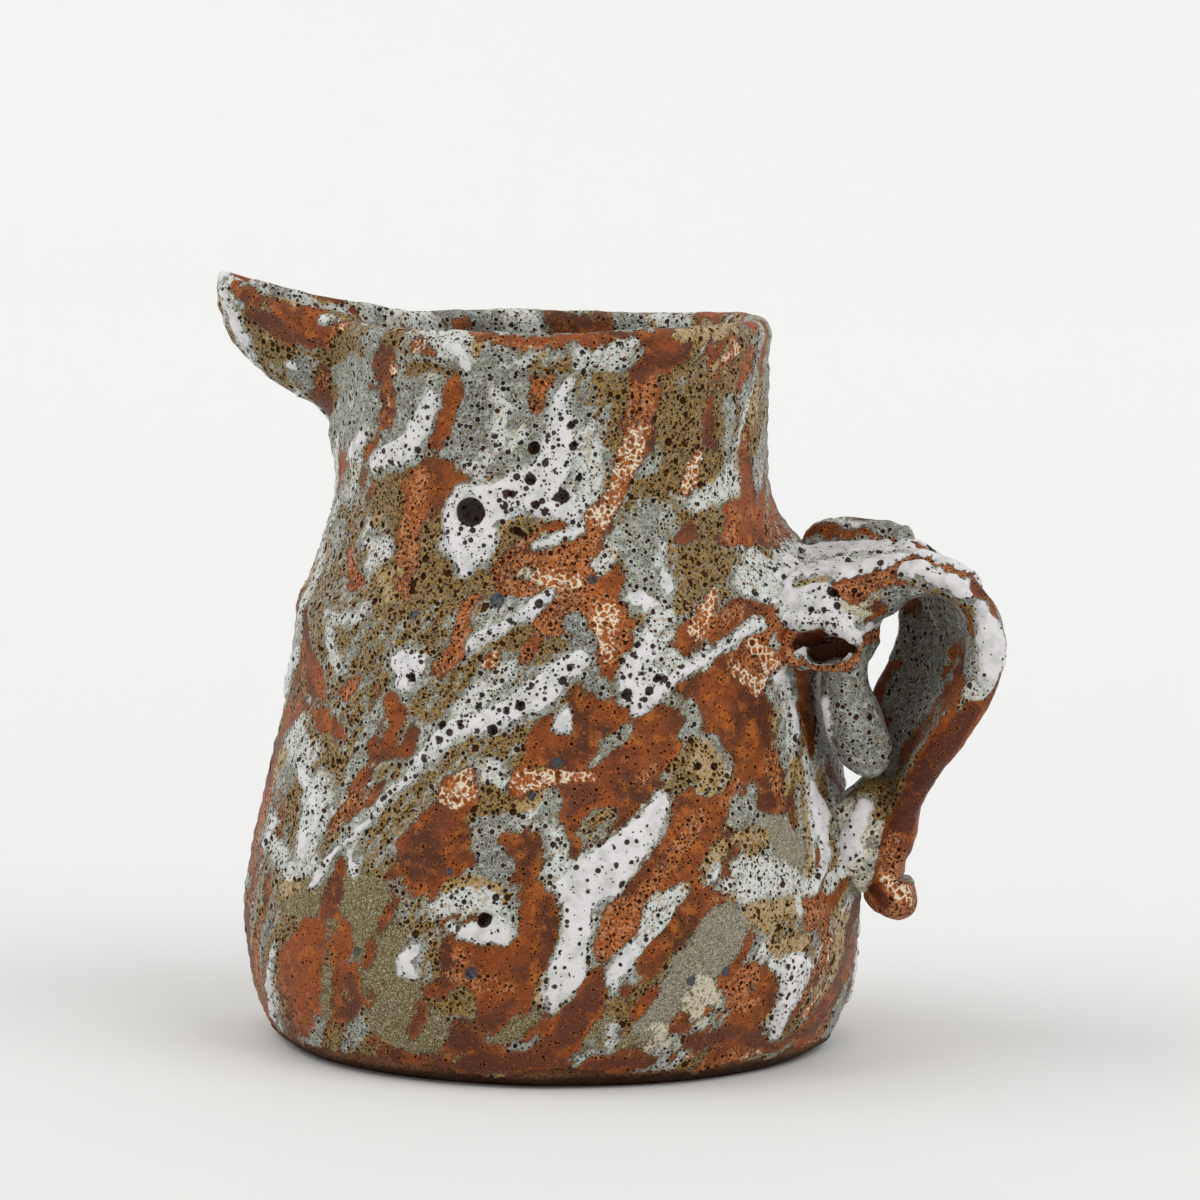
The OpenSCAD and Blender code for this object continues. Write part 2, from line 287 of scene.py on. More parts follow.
# Grounds that the other runs lie on
GROUND_RUNS = region(
    "ground",
    ("neck", VEIL, (350, 390, 40), (430, 410, 50), (500, 420, 50), (590, 420, 34), (585, 480, 30)),
    ("neck right", OLIVE, (600, 372, 16), (640, 400, 26), (680, 420, 40), (730, 420, 30), (690, 500, 30)),
    ("neck low", STONE, (630, 510, 30), (650, 550, 34), (660, 600, 26)),
    ("shoulder", STONE, (350, 500, 30), (360, 560, 40), (350, 620, 50), (400, 650, 40), (450, 620, 34)),
    ("shoulder net", FOAM, (520, 570, 26), (570, 590, 34), (600, 640, 30)),
    ("shoulder right", STONE, (700, 590, 26), (730, 580, 26), (770, 570, 20)),
    ("middle left", STONE, (320, 600, 30), (345, 680, 44), (320, 760, 44), (300, 840, 40), (280, 880, 26)),
    ("middle", STONE, (440, 690, 40), (520, 670, 40), (480, 760, 34), (400, 790, 40), (380, 840, 34)),
    ("middle rust", RUST, (560, 740, 30), (610, 740, 36), (680, 720, 40), (750, 720, 40), (770, 790, 26)),
    ("belly", RUST, (430, 850, 34), (500, 960, 44), (580, 830, 40), (680, 830, 46), (640, 920, 44)),
    ("belly right", STONE, (770, 870, 44), (800, 930, 36)),
    ("foot", KHAKI, (290, 890, 20), (370, 900, 30), (380, 960, 36), (395, 1005, 42), (440, 1045, 22)),
    ("foot pale", STONE, (400, 900, 14), (420, 920, 18), (430, 940, 14)),
    ("foot rust", RUST, (520, 1000, 44), (600, 1000, 30), (300, 980, 34), (300, 1020, 20)),
    ("foot right", SAND, (730, 925, 24), (720, 945, 26), (690, 975, 24), (665, 1005, 18), (645, 1030, 12)),
)

BEAK_RUNS = region(
    "beak",
    ("wall", STONE, (240, 322, 14), (262, 352, 18), (285, 374, 16), (308, 384, 10)),
    ("edge", WHITE, (227, 292, 9), (236, 314, 10), (247, 338, 10), (258, 360, 9)),
    ("tip", WHITE, (223, 274, 7), (221, 288, 5)),
    ("hollow", OLIVE, (252, 322, 6), (268, 344, 7), (290, 352, 9), (318, 352, 8), (330, 362, 8)),
    ("grey", GREY, (308, 362, 6), (306, 384, 7)),
    ("dark", DARK, (258, 316, 8), (276, 328, 9), (296, 338, 9), (318, 342, 7)),
    ("rust", RUST, (234, 283, 6), (250, 292, 7), (272, 304, 8), (292, 312, 9), (308, 325, 8), (328, 334, 5)),
    ("lip", PALE, (262, 289, 6), (290, 297, 7), (315, 305, 8), (340, 311, 8), (372, 314, 8)),
    ("lip white", WHITE, (322, 318, 4), (338, 322, 4)),
    ("lip rust", NET, (340, 329, 4), (355, 325, 4), (376, 326, 4)),
)

# The neck, from the beak round to the handle
NECK_RUNS = region(
    "neck",
    ("brown", OLIVE, (340, 350, 9), (354, 350, 10), (368, 354, 8)),
    ("veil left", VEIL, (344, 376, 13), (350, 398, 16), (356, 420, 15), (350, 440, 12)),
    ("rust bar", RUST, (390, 352, 13), (388, 380, 14), (388, 405, 14), (384, 424, 11)),
    ("dark bar", DARK, (394, 350, 9), (380, 360, 8), (377, 385, 6)),
    ("bar net", NET, (393, 370, 6), (386, 416, 4)),
    ("grey left", GREY, (416, 392, 9), (414, 412, 10)),
    ("froth", NET, (420, 350, 10), (432, 356, 8), (404, 326, 9), (386, 330, 6)),
    ("brown froth", OLIVE, (410, 372, 9), (438, 374, 9), (452, 372, 6)),
    ("rust curve", RUST, (454, 384, 11), (455, 404, 14), (450, 424, 12), (442, 440, 11), (430, 455, 10)),
    ("foam curve", FOAM,
     (426, 466, 8), (420, 486, 9), (418, 506, 13), (412, 526, 15), (408, 550, 17), (403, 576, 16), (404, 590, 10)),
    ("olive wedge", OLIVE, (398, 478, 11), (386, 492, 12), (374, 508, 10), (366, 520, 6)),
    ("milk low", PALE, (364, 462, 12), (360, 474, 14), (358, 490, 12), (344, 500, 9), (330, 530, 7), (322, 560, 10)),
    ("grey middle", GREY, (478, 392, 12), (474, 414, 16), (480, 442, 18), (500, 452, 12)),
    ("cloud", PALE, (498, 396, 9), (500, 418, 9), (498, 434, 7)),
    ("cloud low", PALE, (462, 470, 8), (478, 470, 10), (520, 432, 8)),
    ("rust patch", FOAM, (542, 386, 10), (538, 404, 10)),
    ("veil right", STONE, (576, 384, 14), (594, 408, 14), (604, 440, 9)),
    ("milk right", PALE, (586, 440, 15), (590, 466, 18), (590, 492, 15), (576, 512, 10)),
    ("brown edge", OLIVE, (618, 374, 12), (622, 400, 8), (618, 430, 7), (612, 466, 5), (602, 490, 5)),
    ("rust column", FOAM, (642, 388, 13), (642, 406, 13), (638, 428, 14)),
    ("dark top", DARK, (640, 380, 8), (652, 369, 9), (668, 366, 9), (682, 366, 6)),
    ("net column", NET,
     (638, 444, 14), (630, 458, 13), (624, 474, 12), (618, 488, 13), (610, 506, 12), (600, 524, 14)),
    ("rust drop", RUST, (648, 446, 6), (648, 460, 5)),
    ("khaki", STONE, (678, 386, 14), (684, 398, 14), (706, 376, 9)),
    ("brown field", OLIVE, (680, 416, 16), (680, 438, 16), (670, 456, 11)),
    ("rust right", RUST, (722, 384, 5), (714, 402, 8), (713, 424, 9), (713, 446, 10), (720, 456, 6)),
    ("net right", NET, (700, 462, 9), (692, 478, 10), (686, 494, 8)),
    ("olive right", OLIVE, (714, 476, 9), (706, 486, 8)),
    ("grey right", VEIL, (732, 402, 10), (734, 430, 10), (732, 452, 9), (736, 470, 7)),
    ("edge right", OLIVE, (762, 380, 5), (766, 420, 5)),
    ("rust side", RUST, (752, 428, 6), (750, 460, 9), (750, 490, 10), (752, 514, 14), (748, 540, 14)),
    ("milk side", PALE, (763, 466, 4), (765, 492, 4)),
    ("lace", PALE, (738, 488, 9), (722, 498, 12), (706, 506, 13), (688, 510, 11), (670, 506, 8)),
    ("veil low", VEIL, (652, 522, 11), (640, 540, 12), (672, 514, 8)),
    ("olive low", OLIVE, (722, 522, 11), (706, 528, 7), (640, 492, 6)),
    ("rust blob", RUST, (694, 530, 10), (684, 544, 9)),
)

RIM_RUNS = region(
    "rim",
    ("rust", RUST, (484, 340, 7), (520, 337, 7), (550, 340, 6), (600, 342, 7), (655, 340, 9), (668, 346, 8)),
    ("edge", RUST, (540, 331, 4), (580, 331, 4), (620, 330, 4), (650, 330, 4)),
    ("froth", NET, (490, 344, 4), (530, 348, 4), (560, 348, 4)),
    ("roll", PALE, (500, 364, 6), (526, 362, 7), (560, 352, 6), (590, 355, 7), (612, 350, 8), (634, 348, 8)),
    ("roll end", PALE, (610, 362, 8), (624, 368, 8), (576, 364, 8)),
    ("ochre", OCHRE, (682, 340, 9), (705, 337, 9), (730, 333, 9)),
    ("corner", STONE, (748, 332, 8), (756, 346, 7)),
    ("net right", NET, (735, 348, 7), (742, 354, 6), (728, 368, 7)),
)

SHOULDER_RUNS = region(
    "shoulder",
    ("pale", PALE, (318, 572, 10), (306, 600, 12), (298, 626, 10)),
    ("stripe", VEIL, (344, 530, 8), (338, 552, 7), (328, 570, 6)),
    ("froth", PALE, (372, 526, 9), (368, 536, 7), (386, 550, 12), (372, 566, 11)),
    ("rust spots", FOAM, (356, 526, 4), (350, 566, 8), (358, 584, 8), (346, 588, 6)),
    ("ochre", OCHRE, (388, 600, 8), (384, 576, 7), (400, 572, 5)),
    ("brown", OLIVE, (434, 560, 12), (442, 584, 16), (462, 588, 14), (450, 600, 10)),
    ("lumps", PALE, (362, 606, 10), (354, 620, 7), (324, 618, 6), (330, 650, 8), (338, 662, 8)),
    ("orange", FOAM, (522, 548, 12), (550, 549, 17), (576, 554, 18), (590, 544, 12)),
    ("net", NET, (530, 574, 7), (552, 584, 9), (578, 582, 8)),
    ("foam", FOAM, (556, 610, 13), (546, 624, 12), (556, 636, 10), (590, 600, 8)),
    ("net low", NET, (612, 608, 8), (606, 630, 12), (606, 650, 11)),
    ("grey spot", GREY, (576, 622, 11), (590, 680, 12), (602, 690, 9)),
    ("olive spots", OLIVE, (520, 628, 11), (504, 640, 9), (556, 648, 10), (544, 658, 8)),
    ("veil", VEIL, (630, 544, 18), (646, 566, 18), (660, 584, 14)),
    ("olive right", OLIVE, (712, 552, 10), (690, 556, 12), (704, 570, 15), (724, 566, 9), (690, 590, 9)),
    ("net right", NET, (716, 590, 8), (706, 610, 10), (700, 632, 10)),
    ("rust spot", RUST, (629, 622, 5)),
    ("cream spot", CREAM, (527, 575, 6)),
)

MIDDLE_RUNS = region(
    "middle",
    ("foam streak", FOAM, (484, 594, 6), (470, 608, 8), (462, 626, 9), (455, 640, 12), (448, 655, 13), (438, 668, 9)),
    ("rust streak", FOAM, (536, 644, 6), (524, 660, 8), (512, 672, 6)),
    ("froth", NET, (494, 650, 7), (486, 668, 8)),
    ("froth field", PALE, (512, 666, 9), (494, 684, 13), (476, 700, 13), (456, 712, 11)),
    ("rust left", RUST,(306, 656, 10), (312, 672, 15), (318, 688, 15), (318, 708, 14), (326, 726, 14), (340, 738, 7)),
    ("rust line", STONE, (302, 696, 2), (336, 706, 2.5)),
    ("foam left", FOAM, (346, 692, 9), (356, 680, 7)),
    ("rust block", RUST, (392, 706, 9), (402, 720, 13), (394, 736, 17), (410, 744, 13), (374, 748, 9)),
    ("block stripe", STONE, (388, 722, 2), (379, 742, 2)),
    ("block stripe low", STONE, (410, 724, 2), (400, 742, 2)),
    ("pale left", PALE, (296, 744, 18), (310, 756, 18), (312, 786, 24), (316, 810, 26), (308, 836, 22)),
    ("ochre left", OLIVE, (326, 738, 6), (332, 752, 5), (286, 804, 8), (290, 816, 6)),
    ("rust centre", RUST, (578, 706, 12), (586, 722, 12), (572, 748, 12), (548, 748, 11), (606, 728, 7)),
    ("grey stripe", VEIL, (628, 734, 8), (606, 750, 10), (588, 762, 8)),
    ("rust right", RUST, (662, 718, 8), (648, 744, 14), (662, 752, 11), (632, 758, 10)),
    ("grey right", VEIL, (686, 732, 12), (698, 720, 9), (672, 700, 7)),
    ("net", NET, (752, 640, 8), (765, 655, 10), (770, 670, 9), (756, 682, 10), (736, 672, 10)),
    ("rust side", RUST, (738, 696, 14), (752, 712, 16), (758, 738, 13)),
    ("medal ring", VEIL, (708, 764, 32), (694, 776, 22)),
    ("medal", OCHRE, (706, 765, 25)),
    ("medal tail", OLIVE, (688, 780, 8), (674, 788, 7), (690, 740, 6)),
)

BELLY_RUNS = region(
    "belly",
    ("net left", NET, (470, 774, 9), (456, 786, 13), (444, 800, 12), (548, 778, 10), (590, 776, 6)),
    ("rust left", RUST,
     (440, 826, 16), (452, 842, 18), (430, 852, 15), (416, 872, 15), (440, 872, 16), (416, 888, 10)),
    ("drip", DARK, (396, 898, 7), (385, 912, 5), (380, 926, 4), (370, 946, 4), (362, 966, 3)),
    ("rust streak", RUST, (378, 788, 8), (366, 806, 7)),
    ("froth", PALE, (494, 774, 12), (502, 784, 9)),
    ("olive", OLIVE, (490, 798, 13), (506, 808, 12), (478, 814, 10)),
    ("veil", VEIL, (518, 820, 9), (480, 832, 10)),
    ("grey", GREY, (488, 848, 12), (494, 868, 19), (476, 876, 9), (512, 888, 9)),
    ("rust wedge", RUST, (512, 842, 9), (528, 848, 9)),
    ("fork hollow", DARK, (562, 796, 8), (586, 798, 13), (570, 814, 6)),
    ("fork stone", STONE, (602, 814, 9), (592, 834, 9)),
    ("fork froth", VEIL, (552, 802, 9), (552, 830, 12), (558, 852, 17), (554, 876, 13)),
    ("fork milk", PALE, (556, 834, 7), (562, 852, 12), (560, 870, 12)),
    ("fork side", VEIL, (668, 812, 7), (662, 830, 8), (604, 904, 7), (602, 930, 9), (592, 958, 6)),
    ("fork ochre", OCHRE, (544, 984, 6), (544, 1006, 8), (562, 1010, 8), (582, 1002, 6)),
    ("rust right", RUST, (690, 802, 14), (694, 830, 16), (664, 858, 15), (640, 872, 15), (686, 868, 10)),
    ("rust foam", FOAM, (622, 908, 12), (612, 930, 13), (608, 954, 10), (696, 822, 10)),
    ("dark", DARK, (602, 976, 7), (592, 1000, 10), (576, 1020, 14), (560, 1040, 15), (544, 1050, 10)),
    ("band froth", OCHRE, (684, 890, 7), (668, 896, 9), (656, 912, 11), (648, 930, 8)),
    ("band milk", PALE, (676, 892, 8), (664, 902, 11), (656, 918, 13), (646, 936, 9)),
    ("band rust", RUST, (702, 904, 7), (690, 914, 8), (678, 938, 8), (660, 956, 7), (644, 972, 8)),
    ("field grey", SAND, (770, 830, 14), (790, 836, 14), (796, 856, 11), (778, 850, 11)),
    ("field ochre", OCHRE, (764, 836, 8), (738, 838, 8), (724, 846, 9), (712, 862, 9), (700, 876, 8)),
    ("field dark", DARK, (734, 848, 4), (730, 862, 4)),
    ("crater field", PALE,
     (738, 866, 11), (764, 872, 17), (790, 878, 14), (762, 890, 15), (724, 884, 9), (802, 888, 11)),
    ("crater field brown", OCHRE, (754, 910, 12), (774, 912, 12), (796, 908, 9), (764, 924, 9)),
    ("side field", PALE, (808, 760, 12), (814, 800, 16), (818, 840, 16), (812, 880, 16), (800, 905, 12)),
    ("side field ochre", OCHRE, (822, 770, 5), (812, 820, 4), (826, 860, 5), (806, 900, 6)),
    # The side field white is partly pale glaze and partly painted light, lifting the wall where the handle shades it
    ("side field white", WHITE, (812, 788, 9), (820, 820, 14), (822, 850, 13), (814, 884, 8)),
    ("field froth", WHITE, (716, 870, 4), (708, 884, 4)),
    ("field grey stone", STONE, (788, 930, 11), (786, 946, 9)),
    ("field pale low", PALE, (764, 952, 8), (776, 960, 8)),
    ("field ochre low", OCHRE, (772, 944, 7), (800, 942, 8), (810, 954, 6)),
    ("side ochre", OCHRE, (800, 766, 7), (806, 790, 6), (806, 812, 5), (808, 868, 6)),
    ("side grey", VEIL, (800, 786, 4), (804, 836, 5)),
    ("side slit", RUST, (815, 842, 3.5), (818, 862, 3.5)),
    ("side rust", FOAM,
     (806, 906, 9), (824, 906, 8), (808, 922, 12), (820, 922, 10), (826, 944, 10), (816, 970, 7), (802, 998, 6)),
    ("side brown", DARK, (852, 906, 10), (850, 930, 13), (848, 956, 13), (838, 982, 11)),
    ("side net", NET, (832, 926, 3), (829, 962, 4), (822, 990, 5), (810, 1010, 6), (800, 1020, 5)),
    ("side orange", FOAM, (772, 756, 10), (776, 778, 9), (786, 800, 8)),
    ("side orange ochre", OCHRE, (792, 768, 8), (788, 786, 6)),
    ("grey lens", VEIL, (756, 788, 7), (752, 806, 10), (734, 818, 8)),
)

FOOT_RUNS = region(
    "foot",
    ("left pale", PALE, (270, 812, 8), (269, 836, 9), (290, 872, 12), (312, 862, 9)),
    ("left ochre", OCHRE, (298, 888, 9), (284, 892, 8)),
    ("left edge", RUST, (270, 880, 7), (265, 904, 5)),
    ("left dark", GREY, (263, 940, 5), (261, 960, 5)),
    ("rust wedge", RUST, (340, 856, 4), (338, 872, 10), (334, 892, 13), (328, 910, 12), (341, 930, 9), (345, 950, 7)),
    ("rust corner", RUST, (322, 926, 8), (300, 942, 16), (292, 966, 16), (300, 988, 16), (292, 1010, 16)),
    ("stripe", KHAKI, (330, 922, 5), (328, 942, 5), (325, 966, 7), (323, 988, 7), (326, 1008, 7)),
    ("rust spot", DARK, (348, 982, 10), (352, 1000, 11), (350, 1014, 6)),
    ("ochre spot", OCHRE, (345, 993, 6)),
    ("rust centre", RUST,
     (450, 952, 14), (480, 966, 16), (534, 896, 11), (540, 918, 13), (530, 948, 18), (516, 976, 20), (496, 998, 16),
     (432, 986, 9)),
    ("foam centre", FOAM, (462, 960, 9), (446, 972, 7), (508, 990, 8)),
    ("dark runs", DARK, (512, 1010, 8), (490, 1022, 7), (470, 1032, 7), (450, 1046, 7)),
    ("dark drip", DARK, (422, 1002, 5), (418, 1016, 6), (411, 1032, 5)),
    ("medal", OLIVE, (460, 1001, 18)),
    ("khaki", KHAKI, (540, 1016, 6), (524, 1024, 8), (508, 1032, 9), (490, 1040, 7)),
    ("triangle", KHAKI, (617, 1000, 7), (610, 1016, 11), (598, 1036, 13), (616, 1046, 11), (632, 1040, 9)),
    ("triangle ochre", OLIVE, (616, 1006, 9), (628, 1022, 7)),
    ("milk", PALE, (612, 1030, 10), (612, 1044, 7)),
    ("patch", FOAM, (734, 986, 9), (752, 982, 11), (744, 1004, 10), (760, 1002, 6)),
    ("patch olive", OLIVE, (754, 992, 7)),
    ("cream", CREAM, (702, 984, 11), (712, 998, 14), (696, 1004, 12), (698, 1020, 10)),
    ("cream left", CREAM, (656, 1028, 8), (660, 1042, 8), (645, 1050, 6)),
    ("rust specks", RUST, (650, 996, 6), (640, 1008, 6)),
    # The clay run darkens the foot's front edge: its own dark clay, and painted shade where the foot meets the floor
    ("clay", DARK, (420, 1056, 7), (470, 1064, 9), (530, 1064, 10), (590, 1064, 7), (650, 1062, 6)),
    ("band", DARK, (690, 1044, 8), (730, 1034, 10), (776, 1046, 7), (820, 1026, 8)),
    ("band specks", NET, (672, 1061, 3), (692, 1056, 3)),
    ("band white", NET, (742, 1056, 3), (764, 1054, 3)),
)

# White lava, over all the others
LAVA_RUNS = region(
    "lava",
    ("neck left", LAVA, (435, 384, 5), (434, 404, 8), (428, 425, 11), (414, 442, 14), (400, 455, 16), (382, 462, 11)),
    ("neck far left", WHITE, (368, 436, 8), (362, 448, 11), (348, 454, 7)),
    ("rim", WHITE, (450, 344, 8), (462, 352, 11), (470, 366, 9)),
    ("main", LAVA,
     (566, 388, 6), (562, 410, 9), (560, 436, 12), (556, 460, 15), (540, 482, 18), (516, 494, 17), (492, 502, 20),
     (476, 514, 30), (473, 538, 26), (468, 562, 13)),
    ("arm", LAVA, (540, 500, 20), (560, 506, 15), (574, 512, 8)),
    ("strand", WHITE, (528, 549, 2.5), (545, 546, 3), (562, 538, 3.5), (582, 531, 4)),
    ("veil strand", WHITE, (664, 546, 3.5), (656, 566, 4), (668, 588, 6)),
    ("patch froth", PALE, (664, 612, 12), (656, 626, 10)),
    ("patch", WHITE, (630, 598, 7), (640, 598, 10), (649, 608, 7)),
    ("streak", LAVA, (552, 594, 3), (537, 605, 7), (520, 613, 6), (496, 628, 7), (470, 643, 6)),
    ("blob", LAVA, (405, 665, 16), (415, 668, 15), (405, 682, 11)),
    ("long streak", LAVA,
     (578, 660, 7), (562, 672, 11), (545, 688, 13), (528, 701, 14), (510, 712, 12), (492, 722, 12), (470, 727, 11),
     (450, 735, 9), (434, 748, 8), (418, 764, 6), (400, 784, 5), (386, 796, 4), (366, 819, 4), (345, 838, 5)),
    ("long end", WHITE, (346, 846, 6), (353, 860, 6), (356, 874, 4)),
    ("long tip", WHITE, (336, 850, 4), (325, 866, 5), (318, 878, 7), (312, 886, 5)),
    ("drop", WHITE, (562, 716, 8), (563, 725, 9)),
    ("right froth", PALE, (662, 632, 14), (646, 640, 14), (672, 656, 12), (684, 668, 10)),
    ("right", LAVA, (648, 640, 9), (642, 662, 15), (634, 684, 19), (638, 702, 11), (656, 682, 14)),
    ("right arm", LAVA, (762, 622, 5), (738, 640, 6), (712, 656, 6), (690, 670, 7), (672, 682, 8)),
    ("root", WHITE, (752, 594, 9), (774, 597, 13), (796, 604, 14), (816, 609, 12), (836, 622, 8)),
    ("drip right veil", PALE, (778, 680, 7), (788, 700, 11), (792, 726, 13), (791, 750, 9)),
    ("drip right", WHITE, (772, 674, 6), (786, 690, 5), (796, 722, 6), (794, 748, 6)),
    ("fork", WHITE,
     (662, 804, 9), (650, 822, 13), (634, 842, 17), (616, 858, 19), (598, 874, 19), (580, 890, 21), (576, 912, 16),
     (575, 934, 13), (571, 954, 15), (568, 974, 18), (562, 992, 13), (557, 1004, 6)),
    ("fork arm", WHITE, (558, 884, 6), (568, 890, 10)),
    ("fork wide", WHITE, (630, 856, 15), (608, 880, 16)),
    ("second", WHITE, (636, 948, 5), (624, 962, 7), (617, 976, 7), (615, 988, 4)),
    ("lens ochre", OCHRE, (448, 890, 8), (470, 884, 9), (492, 889, 8), (508, 900, 7)),
    ("lens milk", PALE, (438, 906, 11), (464, 904, 14), (490, 908, 13), (506, 918, 9)),
    ("lens side", VEIL, (516, 906, 6), (514, 930, 6)),
    ("lens", WHITE, (452, 930, 5), (468, 936, 8), (482, 940, 10), (498, 934, 12)),
    ("foot blob", WHITE, (412, 948, 6), (405, 957, 7), (408, 970, 8)),
    ("foot blob grey", VEIL, (424, 964, 8), (424, 976, 5)),
    ("foot drip", LAVA,
     (804, 962, 9), (788, 966, 14), (791, 984, 15), (786, 1000, 13), (779, 1016, 11), (774, 1031, 9)),
    ("foot left", WHITE, (276, 944, 3), (273, 964, 5), (271, 984, 6), (272, 1004, 6), (276, 1022, 4)),
    ("side left", WHITE, (268, 842, 7), (274, 822, 6)),
    ("side inner", LAVA, (302, 848, 8), (310, 830, 13), (316, 808, 12), (312, 784, 10), (300, 764, 7)),
    ("white drip", WHITE, (592, 1040, 3), (588, 1052, 2.5), (581, 1062, 3)),
)

HANDLE_RUNS = region(
    "handle",
    ("root veil", PALE, (752, 560, 16), (772, 572, 16), (790, 566, 14), (742, 580, 14), (768, 590, 14)),
    ("root veil white", WHITE, (776, 568, 9), (792, 562, 9), (770, 582, 8)),
    ("root olive", OLIVE, (758, 548, 5), (764, 556, 4)),
    ("root cream", OCHRE, (804, 582, 6), (826, 580, 7)),
    ("root milk", PALE, (796, 560, 16), (826, 562, 18), (856, 560, 18), (886, 556, 14), (906, 556, 8)),
    ("root white", WHITE, (798, 568, 6), (824, 566, 7), (850, 562, 6)),
    ("root rust", RUST, (820, 531, 6), (845, 535, 5), (870, 538, 5), (892, 543, 4)),
    ("root crevice", GREY, (800, 546, 5), (814, 547, 5)),
    ("root net", FOAM, (842, 588, 10), (864, 582, 12), (884, 578, 11), (894, 568, 9), (908, 562, 6)),
    ("root stain", CREAM, (846, 604, 9), (862, 612, 9), (858, 624, 6), (876, 600, 7)),
    ("root lump", LAVA, (776, 612, 8), (800, 618, 9), (822, 622, 9), (840, 630, 8), (850, 622, 8), (826, 606, 12)),
    ("root grey", VEIL, (850, 634, 6), (858, 626, 4)),
    # The scroll's hollow is painted dark, as painted shade in the cavity under the root
    ("scroll hollow", DARK, (786, 628, 8), (804, 640, 14), (824, 648, 15), (844, 648, 11)),
    ("scroll lip", FOAM, (800, 664, 4), (824, 670, 5), (846, 666, 5), (858, 650, 5)),
    ("scroll side", RUST,(776, 626, 6), (782, 648, 8), (794, 668, 10), (802, 692, 12), (808, 722, 11), (810, 746, 8)),
    ("scroll upper lip", LAVA, (782, 615, 6), (800, 620, 8), (820, 624, 9), (840, 630, 9), (854, 636, 7)),
    ("side ochre edge", OCHRE, (822, 682, 5), (773, 720, 4), (775, 746, 4)),
    # The side strip is partly pale glaze and partly painted light, lifting the wall in the handle's shade
    ("side strip", WHITE, (826, 700, 6), (830, 728, 7), (836, 756, 7)),
    ("coil milk", PALE, (806, 534, 5), (836, 520, 8), (852, 522, 7)),
    ("coil rust", RUST, (806, 534, 6), (826, 532, 6), (846, 533, 6), (864, 534, 5)),
    ("coil veil", GREY, (874, 528, 10), (892, 531, 10), (906, 534, 7)),
    ("coil top", VEIL, (868, 519, 4), (890, 521, 5)),
    ("pellet rust", RUST, (925, 551, 10)),
    ("loop inner", GREY,
     (900, 600, 16), (900, 640, 26), (938, 652, 22), (900, 690, 26), (926, 690, 26), (898, 730, 22), (890, 765, 16)),
    ("loop inner milk", PALE, (918, 592, 5), (928, 606, 7), (938, 624, 5)),
    ("loop inner streak", VEIL, (956, 664, 5), (940, 690, 5), (918, 722, 5)),
    ("loop crest rust", FOAM, (906, 560, 5), (930, 561, 5), (946, 567, 6), (962, 576, 6), (976, 588, 6)),
    ("loop crest", WHITE, (904, 573, 7), (928, 576, 9), (950, 584, 10), (966, 592, 9)),
    ("loop under", OLIVE, (908, 586, 3), (930, 588, 4), (950, 598, 4), (966, 610, 5), (974, 626, 4)),
    ("loop rust", DARK, (982, 588, 8), (992, 600, 8)),
    ("loop bulge", WHITE, (982, 606, 7), (988, 624, 12), (992, 645, 16), (990, 666, 15), (982, 686, 10)),
    ("strip veil", PALE, (976, 690, 11), (966, 704, 9)),
    ("strip dark", DARK,
     (972, 708, 12), (962, 722, 15), (950, 742, 17), (938, 762, 18), (924, 786, 18), (912, 806, 17), (904, 828, 15)),
    ("strip edge", STONE, (926, 738, 6), (906, 768, 7), (889, 792, 6)),
    ("strip rust", FOAM, (897, 844, 10), (893, 866, 11)),
    ("tail veil", VEIL, (856, 688, 13), (862, 714, 13), (866, 738, 13)),
    ("tail grey", GREY, (838, 712, 5), (872, 716, 6), (864, 752, 10)),
    ("wad milk", PALE, (832, 792, 14), (848, 816, 16), (850, 842, 17), (838, 866, 14), (828, 888, 10)),
    ("wad white", WHITE, (866, 800, 8), (862, 820, 11), (852, 842, 11), (842, 862, 8)),
    ("wad side", VEIL, (874, 846, 6), (868, 870, 8)),
    ("knob rust", DARK, (876, 888, 8), (886, 906, 9)),
    ("knob foam", FOAM, (910, 886, 8), (900, 902, 8)),
    ("knob net", NET, (898, 890, 9), (886, 878, 6), (908, 898, 7)),
)

# Torn craters and long iron spots; the torn crater sits in the shaded hollow under the lava, and like every crater it
# is painted dark, as painted shade
LONG_SPOTS = region(
    "long",
    ("crater torn", HOLE, (517, 531, 6), (528, 538, 4)),
    ("crater dark patch", HOLE, (562, 497, 8), (556, 498, 5)),
    ("iron neck", IRON, (742, 420, 4), (742, 424, 4)),
    ("iron side", IRON, (762, 482, 3), (763, 492, 2)),
)

# Craters big enough to be dents in the clay, by the run that they're in; they are painted near black, as painted shade
CRATERS = {
    "great": ((474, 513, 16),),
    "neck": (
        (531, 479, 7), (514, 494, 6), (536, 505, 6), (534, 448, 7), (508, 512, 5), (571, 426, 5), (573, 447, 5),
        (579, 479, 4.5), (477, 537, 4), (454, 545, 3.5), (502, 559, 4.5)),
    "right": (
        (626, 694, 6), (648, 691, 5), (656, 678, 5), (638, 706, 3.5), (640, 673, 3.5), (637, 644, 4),
        (652, 652, 3.5), (667, 685, 4), (629, 676, 3.5)),
    "blob": ((413, 677, 5), (396, 677, 3.5), (412, 652, 3.5)),
    "streak": (
        (521, 706, 5.5), (493, 730, 6), (507, 711, 4.5), (570, 667, 4), (442, 725, 5), (546, 692, 3), (532, 686, 4),
        (478, 706, 4), (461, 723, 4)),
    "lens": ((484, 920, 8), (458, 929, 4)),
    "drip": ((772, 1018, 4),),
    "root": ((833, 592, 6), (837, 606, 4), (828, 614, 4.5), (812, 610, 3.5)),
    "medal": ((699, 766, 4.5), (715, 766, 4.5)),
    "tail": ((870, 717, 4),),
}

